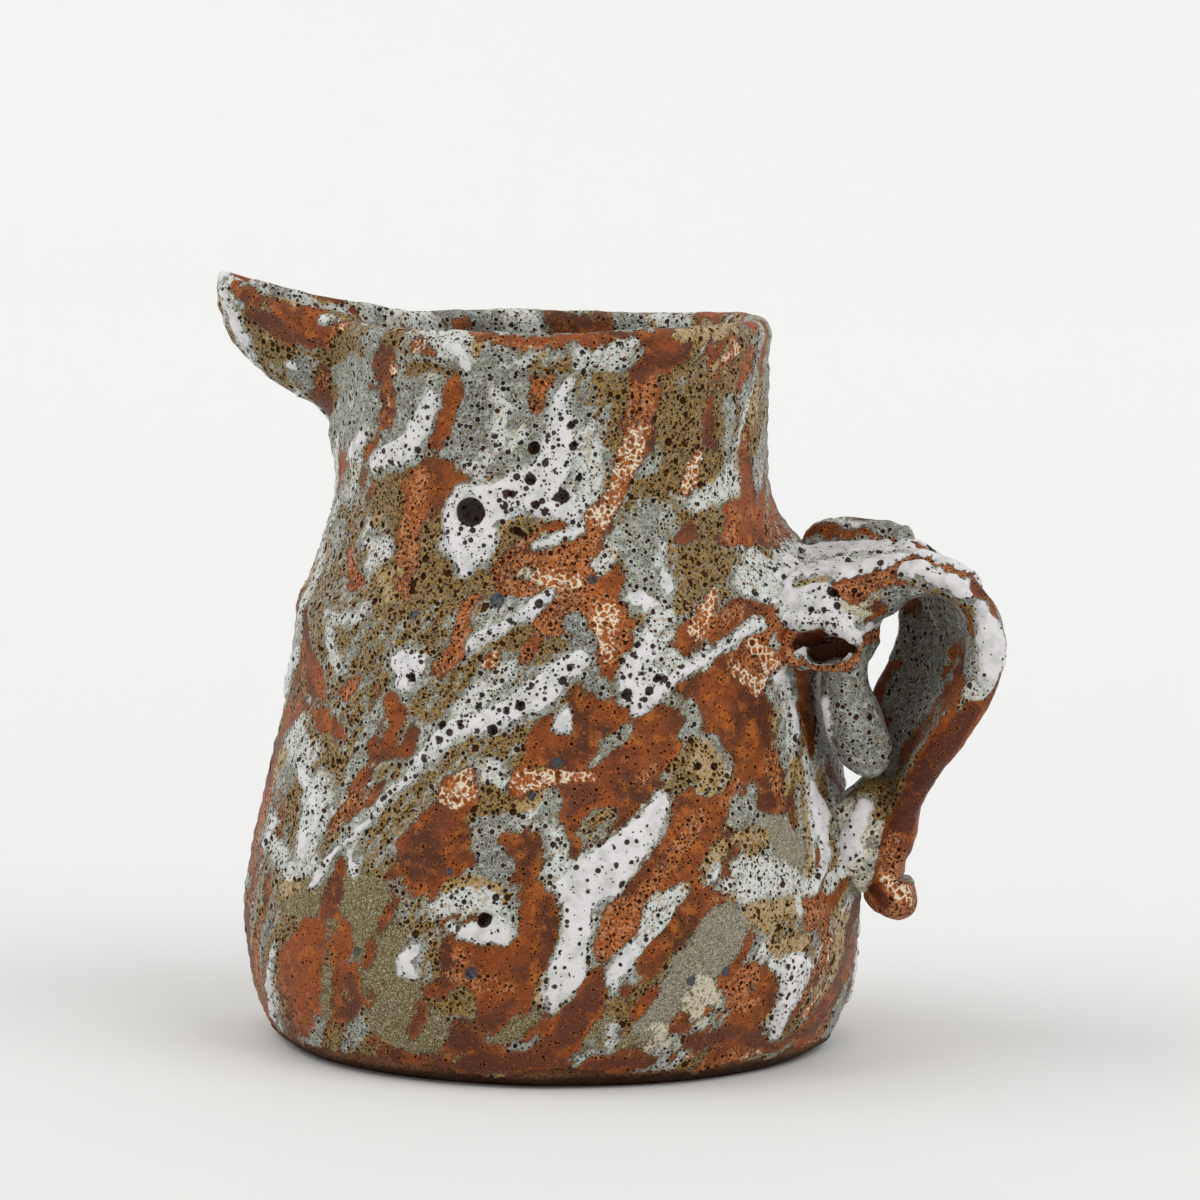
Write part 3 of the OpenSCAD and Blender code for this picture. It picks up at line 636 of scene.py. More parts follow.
# Blue-black iron spots, by the part of the jug
IRON_SPOTS = {
    "shoulder": ((592, 580, 6),),
    "ring": ((497, 600, 8),),
    "middle": ((557, 763, 6), (413, 614, 5)),
    "rim": ((641, 405, 4),),
    "foot": ((356, 952, 5), (470, 974, 7), (512, 971, 3.5)),
    "sand": ((691, 981, 6), (727, 972, 6)),
    "belly": ((449, 872, 4),),
    "fork": ((532, 796, 5),),
}

SEEN_RUNS = (
    *GROUND_RUNS, *BEAK_RUNS, *NECK_RUNS, *RIM_RUNS, *SHOULDER_RUNS, *MIDDLE_RUNS, *BELLY_RUNS, *FOOT_RUNS,
    *LAVA_RUNS, *HANDLE_RUNS, *LONG_SPOTS, *spots(HOLE, CRATERS), *spots(IRON, IRON_SPOTS))


@dataclass(frozen=True)
class Tier:
    """One coat of the runs on the unseen sides: how many, of which kinds, and their sizes in millimetres."""

    count: int
    kinds: tuple[Kind, ...]
    length: Span
    width: Span


UNSEEN_TIERS = (
    Tier(70, (VEIL, RUST, STONE, RUST, OLIVE, GREY, KHAKI), (10.0, 36.0), (3.0, 7.0)),
    Tier(170, (RUST, FOAM, NET, OLIVE, PALE, DARK, OCHRE, RUST, VEIL), (3.0, 26.0), (1.0, 3.2)),
    Tier(42, (WHITE,), (4.0, 24.0), (0.8, 2.4)),
    Tier(44, (HOLE,), (0.0, 0.0), (0.5, 1.1)),
    Tier(16, (IRON,), (0.0, 0.0), (0.6, 1.2)),
)


@dataclass
class RunPlan:
    """Every run of glaze as a chain of places on the clay. Millimetres, and degrees for the sides."""

    camera: PhotoCamera
    solids: PackedSolids
    seed: int = 11
    slant: float = FLOW_SLANT
    front: float = -78.0
    unseen: Span = (98.0, 286.0)
    heights: Span = (3.0, 124.0)
    lowest: float = 2.0
    far: float = 100.0
    step: float = 4.0
    stray: float = 0.02
    lean_shares: Span = (0.4, 1.6)
    width_shares: Span = (0.7, 1.35)
    chains: list[tuple[Kind, np.ndarray]] = field(default_factory=list)

    def drop_seen(self) -> None:
        """Drops the photograph's runs on to the solids along the camera's lines of sight."""
        for run in SEEN_RUNS:
            places = []
            for x, y, radius in run.chain:
                hit = self.solids.hit(*self.camera.ray(x, y))
                if hit is None:
                    log.info("run %s misses the clay at %s, %s", run.name, x, y)
                    continue
                lean = NECK_LEAN * float(ramp(hit.z, *LEAN_HEIGHTS))
                places.append((hit.x + lean, hit.y, hit.z, radius / self.camera.px_per_mm(hit)))
            if places:
                self.chains.append((run.kind, np.array(places)))

    def draw_unseen(self) -> None:
        """Draws runs of the same kinds, coat over coat, on the sides that the photograph doesn't show."""
        pick = np.random.default_rng(self.seed)
        for tier in UNSEEN_TIERS:
            for index in range(tier.count):
                length, width = pick.uniform(*tier.length), pick.uniform(*tier.width)
                self._draw(tier.kinds[index % len(tier.kinds)], length, width, pick)

    def _draw(self, kind: Kind, length: float, width: float, pick: np.random.Generator) -> None:
        """Draws one unseen run, leaning as it comes down.

        Args:
            kind: what it leaves.
            length: how far it comes down.
            width: its radius.
            pick: the random draws.
        """
        angle = math.radians(self.front + pick.uniform(*self.unseen))
        z = pick.uniform(*self.heights)
        steps = 1 + int(length / self.step)
        lean = self.slant * pick.uniform(*self.lean_shares)
        places = []
        for step in range(steps):
            drop = length * step / max(steps - 1, 1)
            here = angle - lean * drop + pick.normal(0.0, self.stray)
            outward = Vector((math.cos(here), math.sin(here), 0.0))
            start = outward * self.far + Vector((0.0, 0.0, max(z - drop, self.lowest)))
            hit = self.solids.hit(start, -outward)
            if hit is not None:
                places.append((*hit, width * pick.uniform(*self.width_shares)))
        if places:
            self.chains.append((kind, np.array(places)))


@dataclass
class GlazeCoat:
    """The glaze at a set of points: for each layer, a share from 0 to 1, with its edge at a half. Millimetres."""

    points: np.ndarray
    inside: np.ndarray
    seed: int = 5
    # The patches under the runs
    patch_size: float = 7.0
    patch_squash: float = 0.4
    # How a run's edge strays: wide and fine noise, and more on the far side
    edge_seeds: tuple[int, int] = (20, 23)
    edge_sizes: Span = (5.0, 1.7)
    edge_push: Span = (0.9, 0.45)
    axis_gap: float = 40.0
    far_wander: float = 1.3
    far_from: Span = (0.0, 25.0)
    # Half the width of an edge, and the pale halo round the lava
    softness: float = 1.1
    crater_softness: float = 1.2
    halo: float = 0.15
    # How thick each layer lies, and the shares between which it gets there
    lava_mm: float = 0.75
    veil_mm: float = 0.22
    net_mm: float = 0.12
    crater_mm: float = 2.4
    lava_edge: Span = (0.35, 0.85)
    veil_edge: Span = (0.35, 0.75)
    crater_edge: Span = (0.48, 1.0)
    layers: dict[str, np.ndarray] = field(default_factory=dict)

    def prime(self, slant: float) -> None:
        """Gives every layer the soft, slanting patches that lie under the runs.

        Args:
            slant: how far the runs lean, in radians for each millimetre of height.
        """
        x, y, z = self.points.T
        c, s = np.cos(slant * z), np.sin(slant * z)
        straight = np.stack((x * c + y * s, y * c - x * s, z * self.patch_squash), axis=1)
        noise = [Grain(self.seed + i).at(straight, self.patch_size, 3) for i in range(5)]
        within, without = self.inside, 1.0 - self.inside
        self.layers = {name: np.zeros(len(self.points)) for name in LAYERS}
        self.layers |= {
            "white": np.clip(0.9 * (noise[4] - 0.3), 0, 1) * within,
            "veil": np.clip(0.6 + 0.9 * noise[0] + 0.5 * within, 0, 1),
            "milk": np.clip(0.25 + 0.9 * noise[1] + 0.35 * within, 0, 1),
            "olive": np.clip(0.4 + 1.1 * noise[2] - 0.3 * within, 0, 1),
            "foam": np.clip(0.3 + 0.9 * noise[3], 0, 1) * without,
            "dark": np.clip(0.1 + 0.7 * noise[1], 0, 1) * without,
        }

    def settle(self, weight: np.ndarray, kind: Kind) -> None:
        """Lets one kind of glaze lie wherever weight is high."""
        for name, share in kind.shares.items():
            self.layers[name] += (share - self.layers[name]) * weight

    def lay(self, plan: RunPlan) -> None:
        """Lays every run of the plan, one over the other, with rough edges.

        Args:
            plan: the runs.
        """
        grains = [Grain(self.seed + extra) for extra in self.edge_seeds]
        shift = np.zeros(self.points.shape)
        for axis in range(3):
            moved = self.points + self.axis_gap * axis
            for grain, size, push in zip(grains, self.edge_sizes, self.edge_push):
                shift[:, axis] += grain.at(moved, size) * push
        wander = 1.0 + self.far_wander * ramp(self.points[:, 1], *self.far_from)
        rough = self.points + shift * wander[:, None]
        for kind, chain in plan.chains:
            if kind.is_spot:
                self._run(kind.shares, chain, self.points, 0.0, self.crater_softness)
                continue
            if kind in (WHITE, LAVA):
                self._run(PALE.shares, chain, rough, self.halo, self.softness)
            self._run(kind.shares, chain, rough, 0.0, self.softness)

    def _run(self, shares: dict[str, float], chain: np.ndarray, rough: np.ndarray, wider: float, soft: float) -> None:
        """Sets layers along one chain of tapered capsules.

        Args:
            shares: layer names and the share that each is set to.
            chain: rows of x, y, z, radius.
            rough: the points, shifted to roughen the run's edge.
            wider: what is added to the radius.
            soft: half of the edge's width.
        """
        reach = chain[:, 3].max() + wider + soft
        low, high = chain[:, :3].min(0) - reach, chain[:, :3].max(0) + reach
        near = np.nonzero(np.all((rough > low) & (rough < high), axis=1))[0]
        if not len(near):
            return
        where = rough[near]
        depth = np.full(len(near), -np.inf)
        for a, b in zip(chain, chain[1:] if len(chain) > 1 else chain):
            along = b[:3] - a[:3]
            span = max(float(along @ along), 1e-9)
            t = np.clip((where - a[:3]) @ along / span, 0.0, 1.0)
            gap = np.linalg.norm(where - a[:3] - t[:, None] * along, axis=1)
            depth = np.maximum(depth, a[3] + (b[3] - a[3]) * t + wider - gap)
        weight = np.clip(0.5 + depth / (2.0 * soft), 0.0, 1.0)
        for name, share in shares.items():
            layer = self.layers[name]
            if name in SPOTS:
                layer[near] = np.maximum(layer[near], share * weight)
            else:
                layer[near] += (share - layer[near]) * weight

    def thickness(self) -> np.ndarray:
        """How far the glaze stands above the clay, craters taken out, in millimetres."""
        layers = self.layers
        lava = self.lava_mm * ramp(layers["white"], *self.lava_edge)
        veil = self.veil_mm * ramp(layers["veil"], *self.veil_edge)
        crater = self.crater_mm * ramp(layers["hole"], *self.crater_edge)
        return (lava + veil + self.net_mm * layers["net"] - crater) * (1.0 - layers["bare"])

    def write(self, mesh: Mesh) -> None:
        """Writes every layer to the mesh as a point attribute."""
        for name in LAYERS:
            attribute = mesh.attributes.new(f"glaze_{name}", "FLOAT", "POINT")
            attribute.data.foreach_set("value", self.layers[name].astype(np.float32))


class Wiring:
    """Short ways to add and join the nodes of one shader tree."""

    def __init__(self, tree: NodeTree) -> None:
        """Keeps the tree."""
        self.tree = tree

    def node(self, kind: str, feeds: dict[int | str, object] | None = None, **settings: object) -> Node:
        """Adds a node, sets its properties and feeds its inputs with sockets or plain values.

        Args:
            kind: the node's type.
            feeds: for each input, a socket or a value.
            settings: its properties.

        Returns:
            The node.
        """
        node = self.tree.nodes.new(kind)
        for name, value in settings.items():
            setattr(node, name, value)
        for key, value in (feeds or {}).items():
            if isinstance(value, Socket):
                self.tree.links.new(value, node.inputs[key])
            else:
                node.inputs[key].default_value = value
        return node

    def math(self, operation: str, a: object, b: object = 0.0) -> Socket:
        """One sum of two numbers."""
        return self.node("ShaderNodeMath", {0: a, 1: b}, operation=operation).outputs[0]

    def total(self, *terms: object) -> Socket:
        """All terms added up."""
        result = terms[0]
        for term in terms[1:]:
            result = self.math("ADD", result, term)
        return result

    def span(self, value: object, low: object, high: object) -> Socket:
        """A smooth step of value from 0 at low to 1 at high."""
        return self.node("ShaderNodeMapRange", {0: value, 1: low, 2: high}, interpolation_type="SMOOTHSTEP").outputs[0]

    def blend(self, share: object, a: object, b: object) -> Socket:
        """Colour a where share is 0, and colour b where it is 1."""
        return self.node("ShaderNodeMix", {0: share, 6: a, 7: b}, data_type="RGBA").outputs[2]

    def lerp(self, share: object, a: object, b: object) -> Socket:
        """Number a where share is 0, and number b where it is 1."""
        return self.node("ShaderNodeMix", {0: share, 2: a, 3: b}, data_type="FLOAT").outputs[0]

    def noise(self, vector: object, scale: float, detail: float = 2.0) -> Socket:
        """Fractal noise about a half."""
        return self.node("ShaderNodeTexNoise", {"Vector": vector, "Scale": scale, "Detail": detail}).outputs[0]

    def cells(self, vector: object, scale: object, feature: str = "F1") -> Node:
        """A Voronoi texture, whose distance is in cells."""
        return self.node("ShaderNodeTexVoronoi", {"Vector": vector, "Scale": scale}, feature=feature)


def new_group(name: str, inputs: dict[str, str], outputs: dict[str, str]) -> tuple[NodeTree, Wiring]:
    """Starts a shader node group.

    Args:
        name: the group's name.
        inputs: socket names and their types, such as Float, Color or Vector.
        outputs: the same for what it puts out.

    Returns:
        The group, and the wiring for its tree.
    """
    group = bpy.data.node_groups.new(name, "ShaderNodeTree")
    for way, sockets in (("INPUT", inputs), ("OUTPUT", outputs)):
        for socket, kind in sockets.items():
            group.interface.new_socket(socket, in_out=way, socket_type=f"NodeSocket{kind}")
    return group, Wiring(group)


@dataclass(frozen=True)
class GlazeFinish:
    """The colours of one firing of the crater glaze, and how dense its holes are."""

    name: str
    slip: str = "#97480F"
    slip_bright: str = "#CC701A"
    slip_deep: str = "#55280C"
    purple: str = "#5A2E1E"
    veil: str = "#8D927F"
    veil_deep: str = "#696D5E"
    grey: str = "#5A5F54"
    milk: str = "#DADED8"
    olive: str = "#54400F"
    ochre: str = "#AD842A"
    sand: str = "#857F6B"
    khaki: str = "#706538"
    cream: str = "#D4CAB0"
    lava: str = "#EAE6E7"
    lava_shade: str = "#CDCDCB"
    iron: str = "#343A48"
    lace: str = "#EDE3C8"
    # pit: near black, for dark specks and edge lines, and painted shade in pits, craters and the foot's undercut
    pit: str = "#160C07"
    clay: str = "#7A5034"
    pits: float = 1.0
    bump: float = 0.85


@dataclass(frozen=True)
class Bubbles:
    """One size of popped bubbles. Radii and shares go by what they pop in: see GlazeRecipe.by_layer."""

    cell_mm: float
    least: float
    radii: tuple[float, ...]
    shares: tuple[float, ...]


# The least radius is a share of the largest, which is in cells; the last row is the share of the cells that pop
BUBBLES = (
    Bubbles(0.6, 0.5, (0.42, 0.5, 0.42, 0.52, 0.3, 0.3, 0.38), (0.8, 1.0, 0.75, 1.0, 0.45, 0.3, 0.6)),
    Bubbles(1.1, 0.4, (0.34, 0.44, 0.47, 0.5, 0.25, 0.4, 0.46), (0.5, 1.0, 0.95, 1.0, 0.2, 0.4, 0.95)),
    Bubbles(2.3, 0.35, (0.2, 0.3, 0.33, 0.37, 0.15, 0.34, 0.4), (0.05, 0.3, 0.4, 0.5, 0.05, 0.3, 0.95)),
)


def crater_holes() -> NodeTree:
    """A group that scatters round holes: Mask is 1 in a hole, Rim is 1 round its edge, Depth is its bowl.

    Returns:
        The group.
    """
    edge, rim_in, rim_out, bowl = (0.82, 1.04), (0.8, 1.0), (1.1, 1.6), (0.3, 1.1)
    small_bias = 1.4
    inputs = {"Vector": "Vector", **dict.fromkeys(("Cell", "Small", "Large", "Share"), "Float")}
    group, w = new_group("Crater holes", inputs, dict.fromkeys(("Mask", "Rim", "Depth", "Tone"), "Float"))
    mul, less = partial(w.math, "MULTIPLY"), partial(w.math, "SUBTRACT", 1.0)
    given = w.node("NodeGroupInput").outputs
    cells = w.cells(given["Vector"], w.math("DIVIDE", 1.0, given["Cell"]))
    tone = w.node("ShaderNodeSeparateColor", {0: cells.outputs["Color"]}).outputs
    kept = w.math("LESS_THAN", tone[1], given["Share"])
    size = w.lerp(w.math("POWER", tone[0], small_bias), given["Small"], given["Large"])
    gap = w.math("DIVIDE", cells.outputs["Distance"], size)
    mask = mul(less(w.span(gap, *edge)), kept)
    rim = mul(mul(w.span(gap, *rim_in), less(w.span(gap, *rim_out))), kept)
    depth = mul(mul(less(w.span(gap, *bowl)), kept), size)
    w.node("NodeGroupOutput", {"Mask": mask, "Rim": rim, "Depth": depth, "Tone": tone[2]})
    return group


class GlazeRecipe:
    """The node group that turns the coat's layers into colour, roughness, gloss and fine relief in millimetres."""

    COLOURS = tuple(f for f in GlazeFinish.__dataclass_fields__ if f not in ("name", "pits", "bump"))
    # Noises: lumps for each millimetre, and their detail
    BROAD, MID, FINE, GRIT, MARBLE = (0.11, 3.0), (0.42, 4.0), (1.9, 3.0), (5.0, 2.0), (0.95, 4.0)
    STREAK, STREAK_SQUASH = (0.6, 3.0), (1.0, 1.0, 0.28)
    TORN, TORN_MM = (1.3, 2.0), (0.26, 0.26, 0.26)
    # Cells for each millimetre in the froth's web and in the coat's sponge
    WEB, SPONGE = 0.85, 1.15

    def __init__(self, holes: NodeTree) -> None:
        """Builds the group.

        Args:
            holes: the group that scatters round holes.
        """
        inputs = {"Vector": "Vector", **dict.fromkeys(LAYERS, "Float"),
                  **{c + " colour": "Color" for c in self.COLOURS}, "Pits": "Float"}
        outputs = {"Colour": "Color", "Roughness": "Float", "Gloss": "Float", "Height": "Float"}
        self.group, self.w = new_group("Crater glaze", inputs, outputs)
        self.given = self.w.node("NodeGroupInput").outputs
        self.mul, self.less = partial(self.w.math, "MULTIPLY"), partial(self.w.math, "SUBTRACT", 1.0)
        self._noises()
        self._masks()
        self._bubbles(holes)
        self._finish(self._slip(), self._coat())

    def _layer(self, name: str, low: float, high: float, fray: float = 1.0) -> Socket:
        """Where one of the coat's layers lies, with its edge frayed."""
        return self.w.span(self.w.math("ADD", self.given[name], self.mul(self.edge, fray)), low, high)

    def _blend(self, share: object, a: object, b: object) -> Socket:
        """Colour a where share is 0, and colour b where it is 1; either may be the name of one of the finish's."""
        return self.w.blend(share, *(self.given[c + " colour"] if isinstance(c, str) else c for c in (a, b)))

    def _stained(self, colour: object, *stains: tuple[Socket, object, object]) -> Socket:
        """Lays stains, and the painted shade in pits and craters, over a colour, one after the other.

        Args:
            colour: what lies below, or its name.
            stains: for each, where it lies, how strong it is, and its colour or that colour's name.

        Returns:
            The stained colour.
        """
        for where, share, stain in stains:
            colour = self._blend(self.mul(where, share), colour, stain)
        return colour

    def _noises(self) -> None:
        """The noises that the rest is drawn from; streak is drawn out along the way that the glaze ran."""
        w, mul = self.w, self.mul
        place = w.node("ShaderNodeVectorMath", {0: self.given["Vector"], 3: 1.0 / MM}, operation="SCALE").outputs[0]
        self.broad, self.mid, self.fine, self.grit, self.marble = (
            w.noise(place, *n) for n in (self.BROAD, self.MID, self.FINE, self.GRIT, self.MARBLE))
        height = w.node("ShaderNodeSeparateXYZ", {0: place}).outputs[2]
        flow = w.node("ShaderNodeVectorRotate", {"Vector": place, "Angle": mul(height, -FLOW_SLANT)},
                      rotation_type="Z_AXIS").outputs[0]
        flow = w.node("ShaderNodeVectorMath", {0: flow, 1: self.STREAK_SQUASH}, operation="MULTIPLY").outputs[0]
        self.streak = w.noise(flow, *self.STREAK)
        parts = ((self.streak, 1.0), (self.mid, 0.6), (self.fine, 0.45))
        self.edge = w.total(*(mul(w.math("SUBTRACT", noise, 0.5), gain) for noise, gain in parts))
        scale, detail = self.TORN
        torn = w.node("ShaderNodeTexNoise", {"Vector": place, "Scale": scale, "Detail": detail}).outputs["Color"]
        self.torn = w.node("ShaderNodeVectorMath", {0: torn, 1: self.TORN_MM, 2: place},
                           operation="MULTIPLY_ADD").outputs[0]

    def _masks(self) -> None:
        """Where each layer lies."""
        w, mul, less, given, edge = self.w, self.mul, self.less, self.given, self.edge
        self.raw = w.total(mul(given["veil"], 0.8), 0.1, edge)
        self.veil = w.span(self.raw, 0.46, 0.52)
        self.thick = w.math("ADD", given["white"], mul(edge, 0.8))
        self.white = w.span(self.thick, 0.46, 0.53)
        self.cover = w.math("MAXIMUM", self.veil, self.white)
        self.foam = mul(self._layer("foam", 0.3, 0.7), less(self.veil))
        self.net = mul(self._layer("net", 0.4, 0.6), less(self.veil))
        self.olive = self._layer("olive", 0.36, 0.64, 1.4)
        grains = mul(w.math("SUBTRACT", self.grit, 0.5), 0.5)
        self.milk = w.span(w.total(given["milk"], mul(edge, 1.6), grains), 0.45, 0.85)
        self.sand = mul(self._layer("sand", 0.35, 0.65), self.veil)
        self.dark = self._layer("dark", 0.3, 0.8)
        self.spot = self._layer("iron", 0.44, 0.54, 0.3)
        self.crater = self._layer("hole", 0.46, 0.54, 0.08)
        self.bare = self._layer("bare", 0.4, 0.6)

    def by_layer(self, *values: float) -> Socket:
        """A number that goes by what lies on top: slip, foam, veil, olive, sand, lace or lava."""
        masks = (self.foam, self.veil, self.mul(self.olive, self.veil), self.sand, self.net, self.white)
        result = values[0]
        for mask, value in zip(masks, values[1:]):
            result = self.w.lerp(mask, result, value)
        return result

    def _bubbles(self, holes: NodeTree) -> None:
        """Popped bubbles: few in the bare slip, dense in the foam and in the olive glaze.

        Args:
            holes: the group that scatters round holes.
        """
        w, mul, less, white = self.w, self.mul, self.less, self.white
        smooth = mul(white, less(w.span(self.given["foam"], 0.3, 0.7)))
        torn_edge = mul(w.lerp(mul(white, less(w.span(self.thick, 0.5, 0.85))), 1.0, 1.8), w.lerp(smooth, 1.0, 0.35))
        cluster = mul(self.given["Pits"], w.lerp(w.span(self.mid, 0.4, 0.58), 0.45, 1.1))
        cluster = mul(cluster, w.lerp(mul(self.milk, less(white)), 1.0, w.lerp(self.olive, 1.35, 0.6)))
        popped = []
        for size in BUBBLES:
            radius = self.by_layer(*size.radii)
            share = mul(self.by_layer(*size.shares), mul(cluster, torn_edge))
            feeds = {"Vector": self.torn, "Cell": size.cell_mm, "Small": mul(radius, size.least), "Large": radius,
                     "Share": share}
            popped.append(w.node("ShaderNodeGroup", feeds, node_tree=holes).outputs)
        self.small, self.middle, self.large = popped
        self.pits, self.rims = (
            w.math("MAXIMUM", w.math("MAXIMUM", self.large[n], self.middle[n]), self.small[n]) for n in ("Mask", "Rim"))

    def _slip(self) -> Socket:
        """Slip: rust with bright and deep clouds, purple runs, foam ridges, and webs of pale froth.

        Returns:
            The slip's colour.
        """
        w, mul, less, foam, net = self.w, self.mul, self.less, self.foam, self.net
        mid, fine, grit = self.mid, self.fine, self.grit
        froth = mul(w.span(grit, 0.56, 0.64), w.math("MAXIMUM", mul(foam, 0.6), w.span(self.raw, 0.26, 0.46)))
        web = w.cells(self.torn, self.WEB, "DISTANCE_TO_EDGE").outputs["Distance"]
        thread = mul(less(w.span(web, 0.05, 0.17)), w.span(w.math("ADD", mid, mul(fine, 0.7)), 0.72, 0.9))
        return self._stained(
            "slip_deep",
            (w.span(self.broad, 0.36, 0.6), 1.0, "slip"),
            (w.span(mid, 0.48, 0.68), 0.6, "slip_bright"),
            (w.span(self.streak, 0.52, 0.7), 0.3, "slip_deep"),
            (self.dark, 0.85, "purple"),
            (mul(foam, w.span(fine, 0.46, 0.6)), 0.75, "slip_bright"),
            (less(w.span(fine, 0.34, 0.46)), 0.45, "slip_deep"),
            (froth, 0.5, self._blend(0.65, "lace", "ochre")),
            (less(w.span(grit, 0.35, 0.45)), 0.6, "pit"),
            (self.rims, 0.4, "slip_bright"),
            (net, 0.3, "slip_bright"),
            (mul(net, w.span(web, 0.24, 0.42)), 0.85, "slip_deep"),
            (thread, w.lerp(net, mul(foam, 0.15), 0.95), "lace"))

    def _coat(self) -> Socket:
        """The coat: grey-green with milk, olive and ochre, or grains of sand; then lava over it.

        Returns:
            The coat's colour.
        """
        w, mul, less, olive, milk = self.w, self.mul, self.less, self.olive, self.milk
        mid, fine, grit, marble, raw = self.mid, self.fine, self.grit, self.marble, self.raw
        cloudy = w.span(w.math("ADD", mid, mul(self.streak, 0.6)), 0.55, 0.95)
        warm = self._blend(w.span(w.math("ADD", fine, mul(milk, 0.18)), 0.49, 0.7), "olive", "ochre")
        wall = self._blend(olive, "milk", "ochre")
        sponge = w.cells(self.torn, self.SPONGE, "DISTANCE_TO_EDGE").outputs["Distance"]
        # popped: the sponge's cells, painted dark with olive as painted shade in small holes
        popped = mul(w.span(sponge, 0.2, 0.36), w.span(mid, 0.38, 0.56))
        dust = self._stained(
            "sand",
            (milk, 1.0, "cream"),
            (olive, 1.0, "khaki"),
            (w.span(grit, 0.52, 0.62), 0.5, "cream"),
            (less(w.span(fine, 0.36, 0.46)), 0.6, "olive"))
        crust = self._stained(
            "lava",
            (w.span(mid, 0.42, 0.7), 1.0, "lava_shade"),
            (less(w.span(self.thick, 0.48, 0.66)), 1.0, "milk"))
        return self._stained(
            "veil_deep",
            (w.span(mid, 0.36, 0.6), 1.0, "veil"),
            (self.dark, cloudy, "grey"),
            (self.dark, 0.6, "grey"),
            (milk, 1.0, "milk"),
            (olive, 0.92, self._blend(mul(milk, 0.3), warm, "cream")),
            (w.span(marble, 0.53, 0.6), w.lerp(olive, 0.55, 0.85), warm),
            (less(w.span(marble, 0.38, 0.45)), w.lerp(olive, 0.42, 0.12), "milk"),
            (popped, w.lerp(olive, 0.55, 0.85), self._blend(0.5, "olive", "pit")),
            (less(w.span(sponge, 0.03, 0.13)), w.lerp(olive, 0.25, 0.5), wall),
            (self.sand, 1.0, dust),
            (less(w.span(raw, 0.52, 0.72)), 0.75, warm),
            (less(w.span(raw, 0.48, 0.57)), 0.85, "pit"),
            (w.span(grit, 0.54, 0.64), 0.25, "lava"),
            (less(w.span(grit, 0.36, 0.46)), 0.35, "pit"),
            (self.white, 1.0, crust),
            (self.rims, 0.35, wall))

    def _finish(self, slip: Socket, coat: Socket) -> None:
        """Adds what lies in and over slip and coat, paints shade into the pits and craters, and puts the group's
        outputs out.

        Args:
            slip: the slip's colour.
            coat: the colour of the glaze over it.
        """
        w, mul, net, cover = self.w, self.mul, self.net, self.cover
        fine, grit, pits, rims, crater, bare = self.fine, self.grit, self.pits, self.rims, self.crater, self.bare
        deep = w.math("MAXIMUM", self.middle["Depth"], self.large["Depth"])
        # hollow is the colour inside the pits: dark slip, and painted shade that darkens the deeper pits in the froth
        hollow = self._stained(
            "pit",
            (self.middle["Tone"], 0.6, "slip_deep"),
            (net, 0.7, self._blend(w.span(deep, 0.1, 0.36), "slip", "slip_deep")))
        # The bare clay, mottled; the dark layer takes it near black, which along the foot's undercut is painted shade
        clay = self._stained(
            "clay",
            (w.span(fine, 0.42, 0.66), 1.0, "slip_deep"),
            (w.span(grit, 0.54, 0.66), 0.5, "sand"),
            (self.given["dark"], 0.75, "pit"))
        # Pits and craters are painted near black over their dents, as painted shade in the hollows
        colour = self._stained(
            slip,
            (cover, 1.0, coat),
            (pits, 0.95, hollow),
            (self.spot, 0.9, self._blend(w.span(grit, 0.5, 0.66), "iron", "grey")),
            (crater, 0.95, self._blend(w.span(fine, 0.5, 0.7), "pit", "slip_deep")),
            (bare, 1.0, clay))
        rough = w.lerp(cover, w.lerp(fine, 0.4, 0.6), w.lerp(self.sand, 0.42, 0.8))
        rough = w.lerp(bare, w.lerp(crater, w.lerp(pits, rough, 0.7), 0.6), 0.85)
        gloss = w.lerp(w.math("MAXIMUM", pits, crater), w.lerp(bare, 0.3, 0.15), 0.04)
        depth = w.math("MAXIMUM", mul(self.large["Depth"], 2.0), mul(self.middle["Depth"], 1.2))
        depth = w.math("MAXIMUM", depth, mul(self.small["Depth"], 0.7))
        parts = ((fine, 0.24), (self.mid, 0.4), (grit, 0.1), (cover, 0.2), (self.white, 0.16), (rims, 0.06),
                 (mul(net, rims), 0.12))
        relief = w.math("SUBTRACT", w.total(*(mul(part, gain) for part, gain in parts)), depth)
        w.node("NodeGroupOutput", {"Colour": colour, "Roughness": rough, "Gloss": gloss, "Height": relief})


class CraterGlaze:
    """The materials that hold the glaze's node group, which is built once."""

    def __init__(self) -> None:
        """Builds the group."""
        self.recipe = GlazeRecipe(crater_holes())

    def material(self, finish: GlazeFinish) -> Material:
        """A glaze material with one finish's colours.

        Args:
            finish: the firing.

        Returns:
            The material.
        """
        material = bpy.data.materials.new(finish.name)
        material.use_nodes = True
        w = Wiring(material.node_tree)
        feeds = {"Vector": w.node("ShaderNodeTexCoord").outputs["Object"], "Pits": finish.pits}
        for name in LAYERS:
            feeds[name] = w.node("ShaderNodeAttribute", attribute_name=f"glaze_{name}").outputs["Fac"]
        for name in GlazeRecipe.COLOURS:
            feeds[name + " colour"] = hex_colour(getattr(finish, name))
        glaze = w.node("ShaderNodeGroup", feeds, node_tree=self.recipe.group).outputs
        bump = w.node("ShaderNodeBump", {"Strength": finish.bump, "Distance": MM, "Height": glaze["Height"]})
        shader = material.node_tree.nodes["Principled BSDF"]
        w.tree.links.new(glaze["Colour"], shader.inputs["Base Color"])
        w.tree.links.new(glaze["Roughness"], shader.inputs["Roughness"])
        w.tree.links.new(glaze["Gloss"], shader.inputs["Specular IOR Level"])
        w.tree.links.new(bump.outputs["Normal"], shader.inputs["Normal"])
        return material


WALL_FINISH = GlazeFinish("crater_glaze_wall")
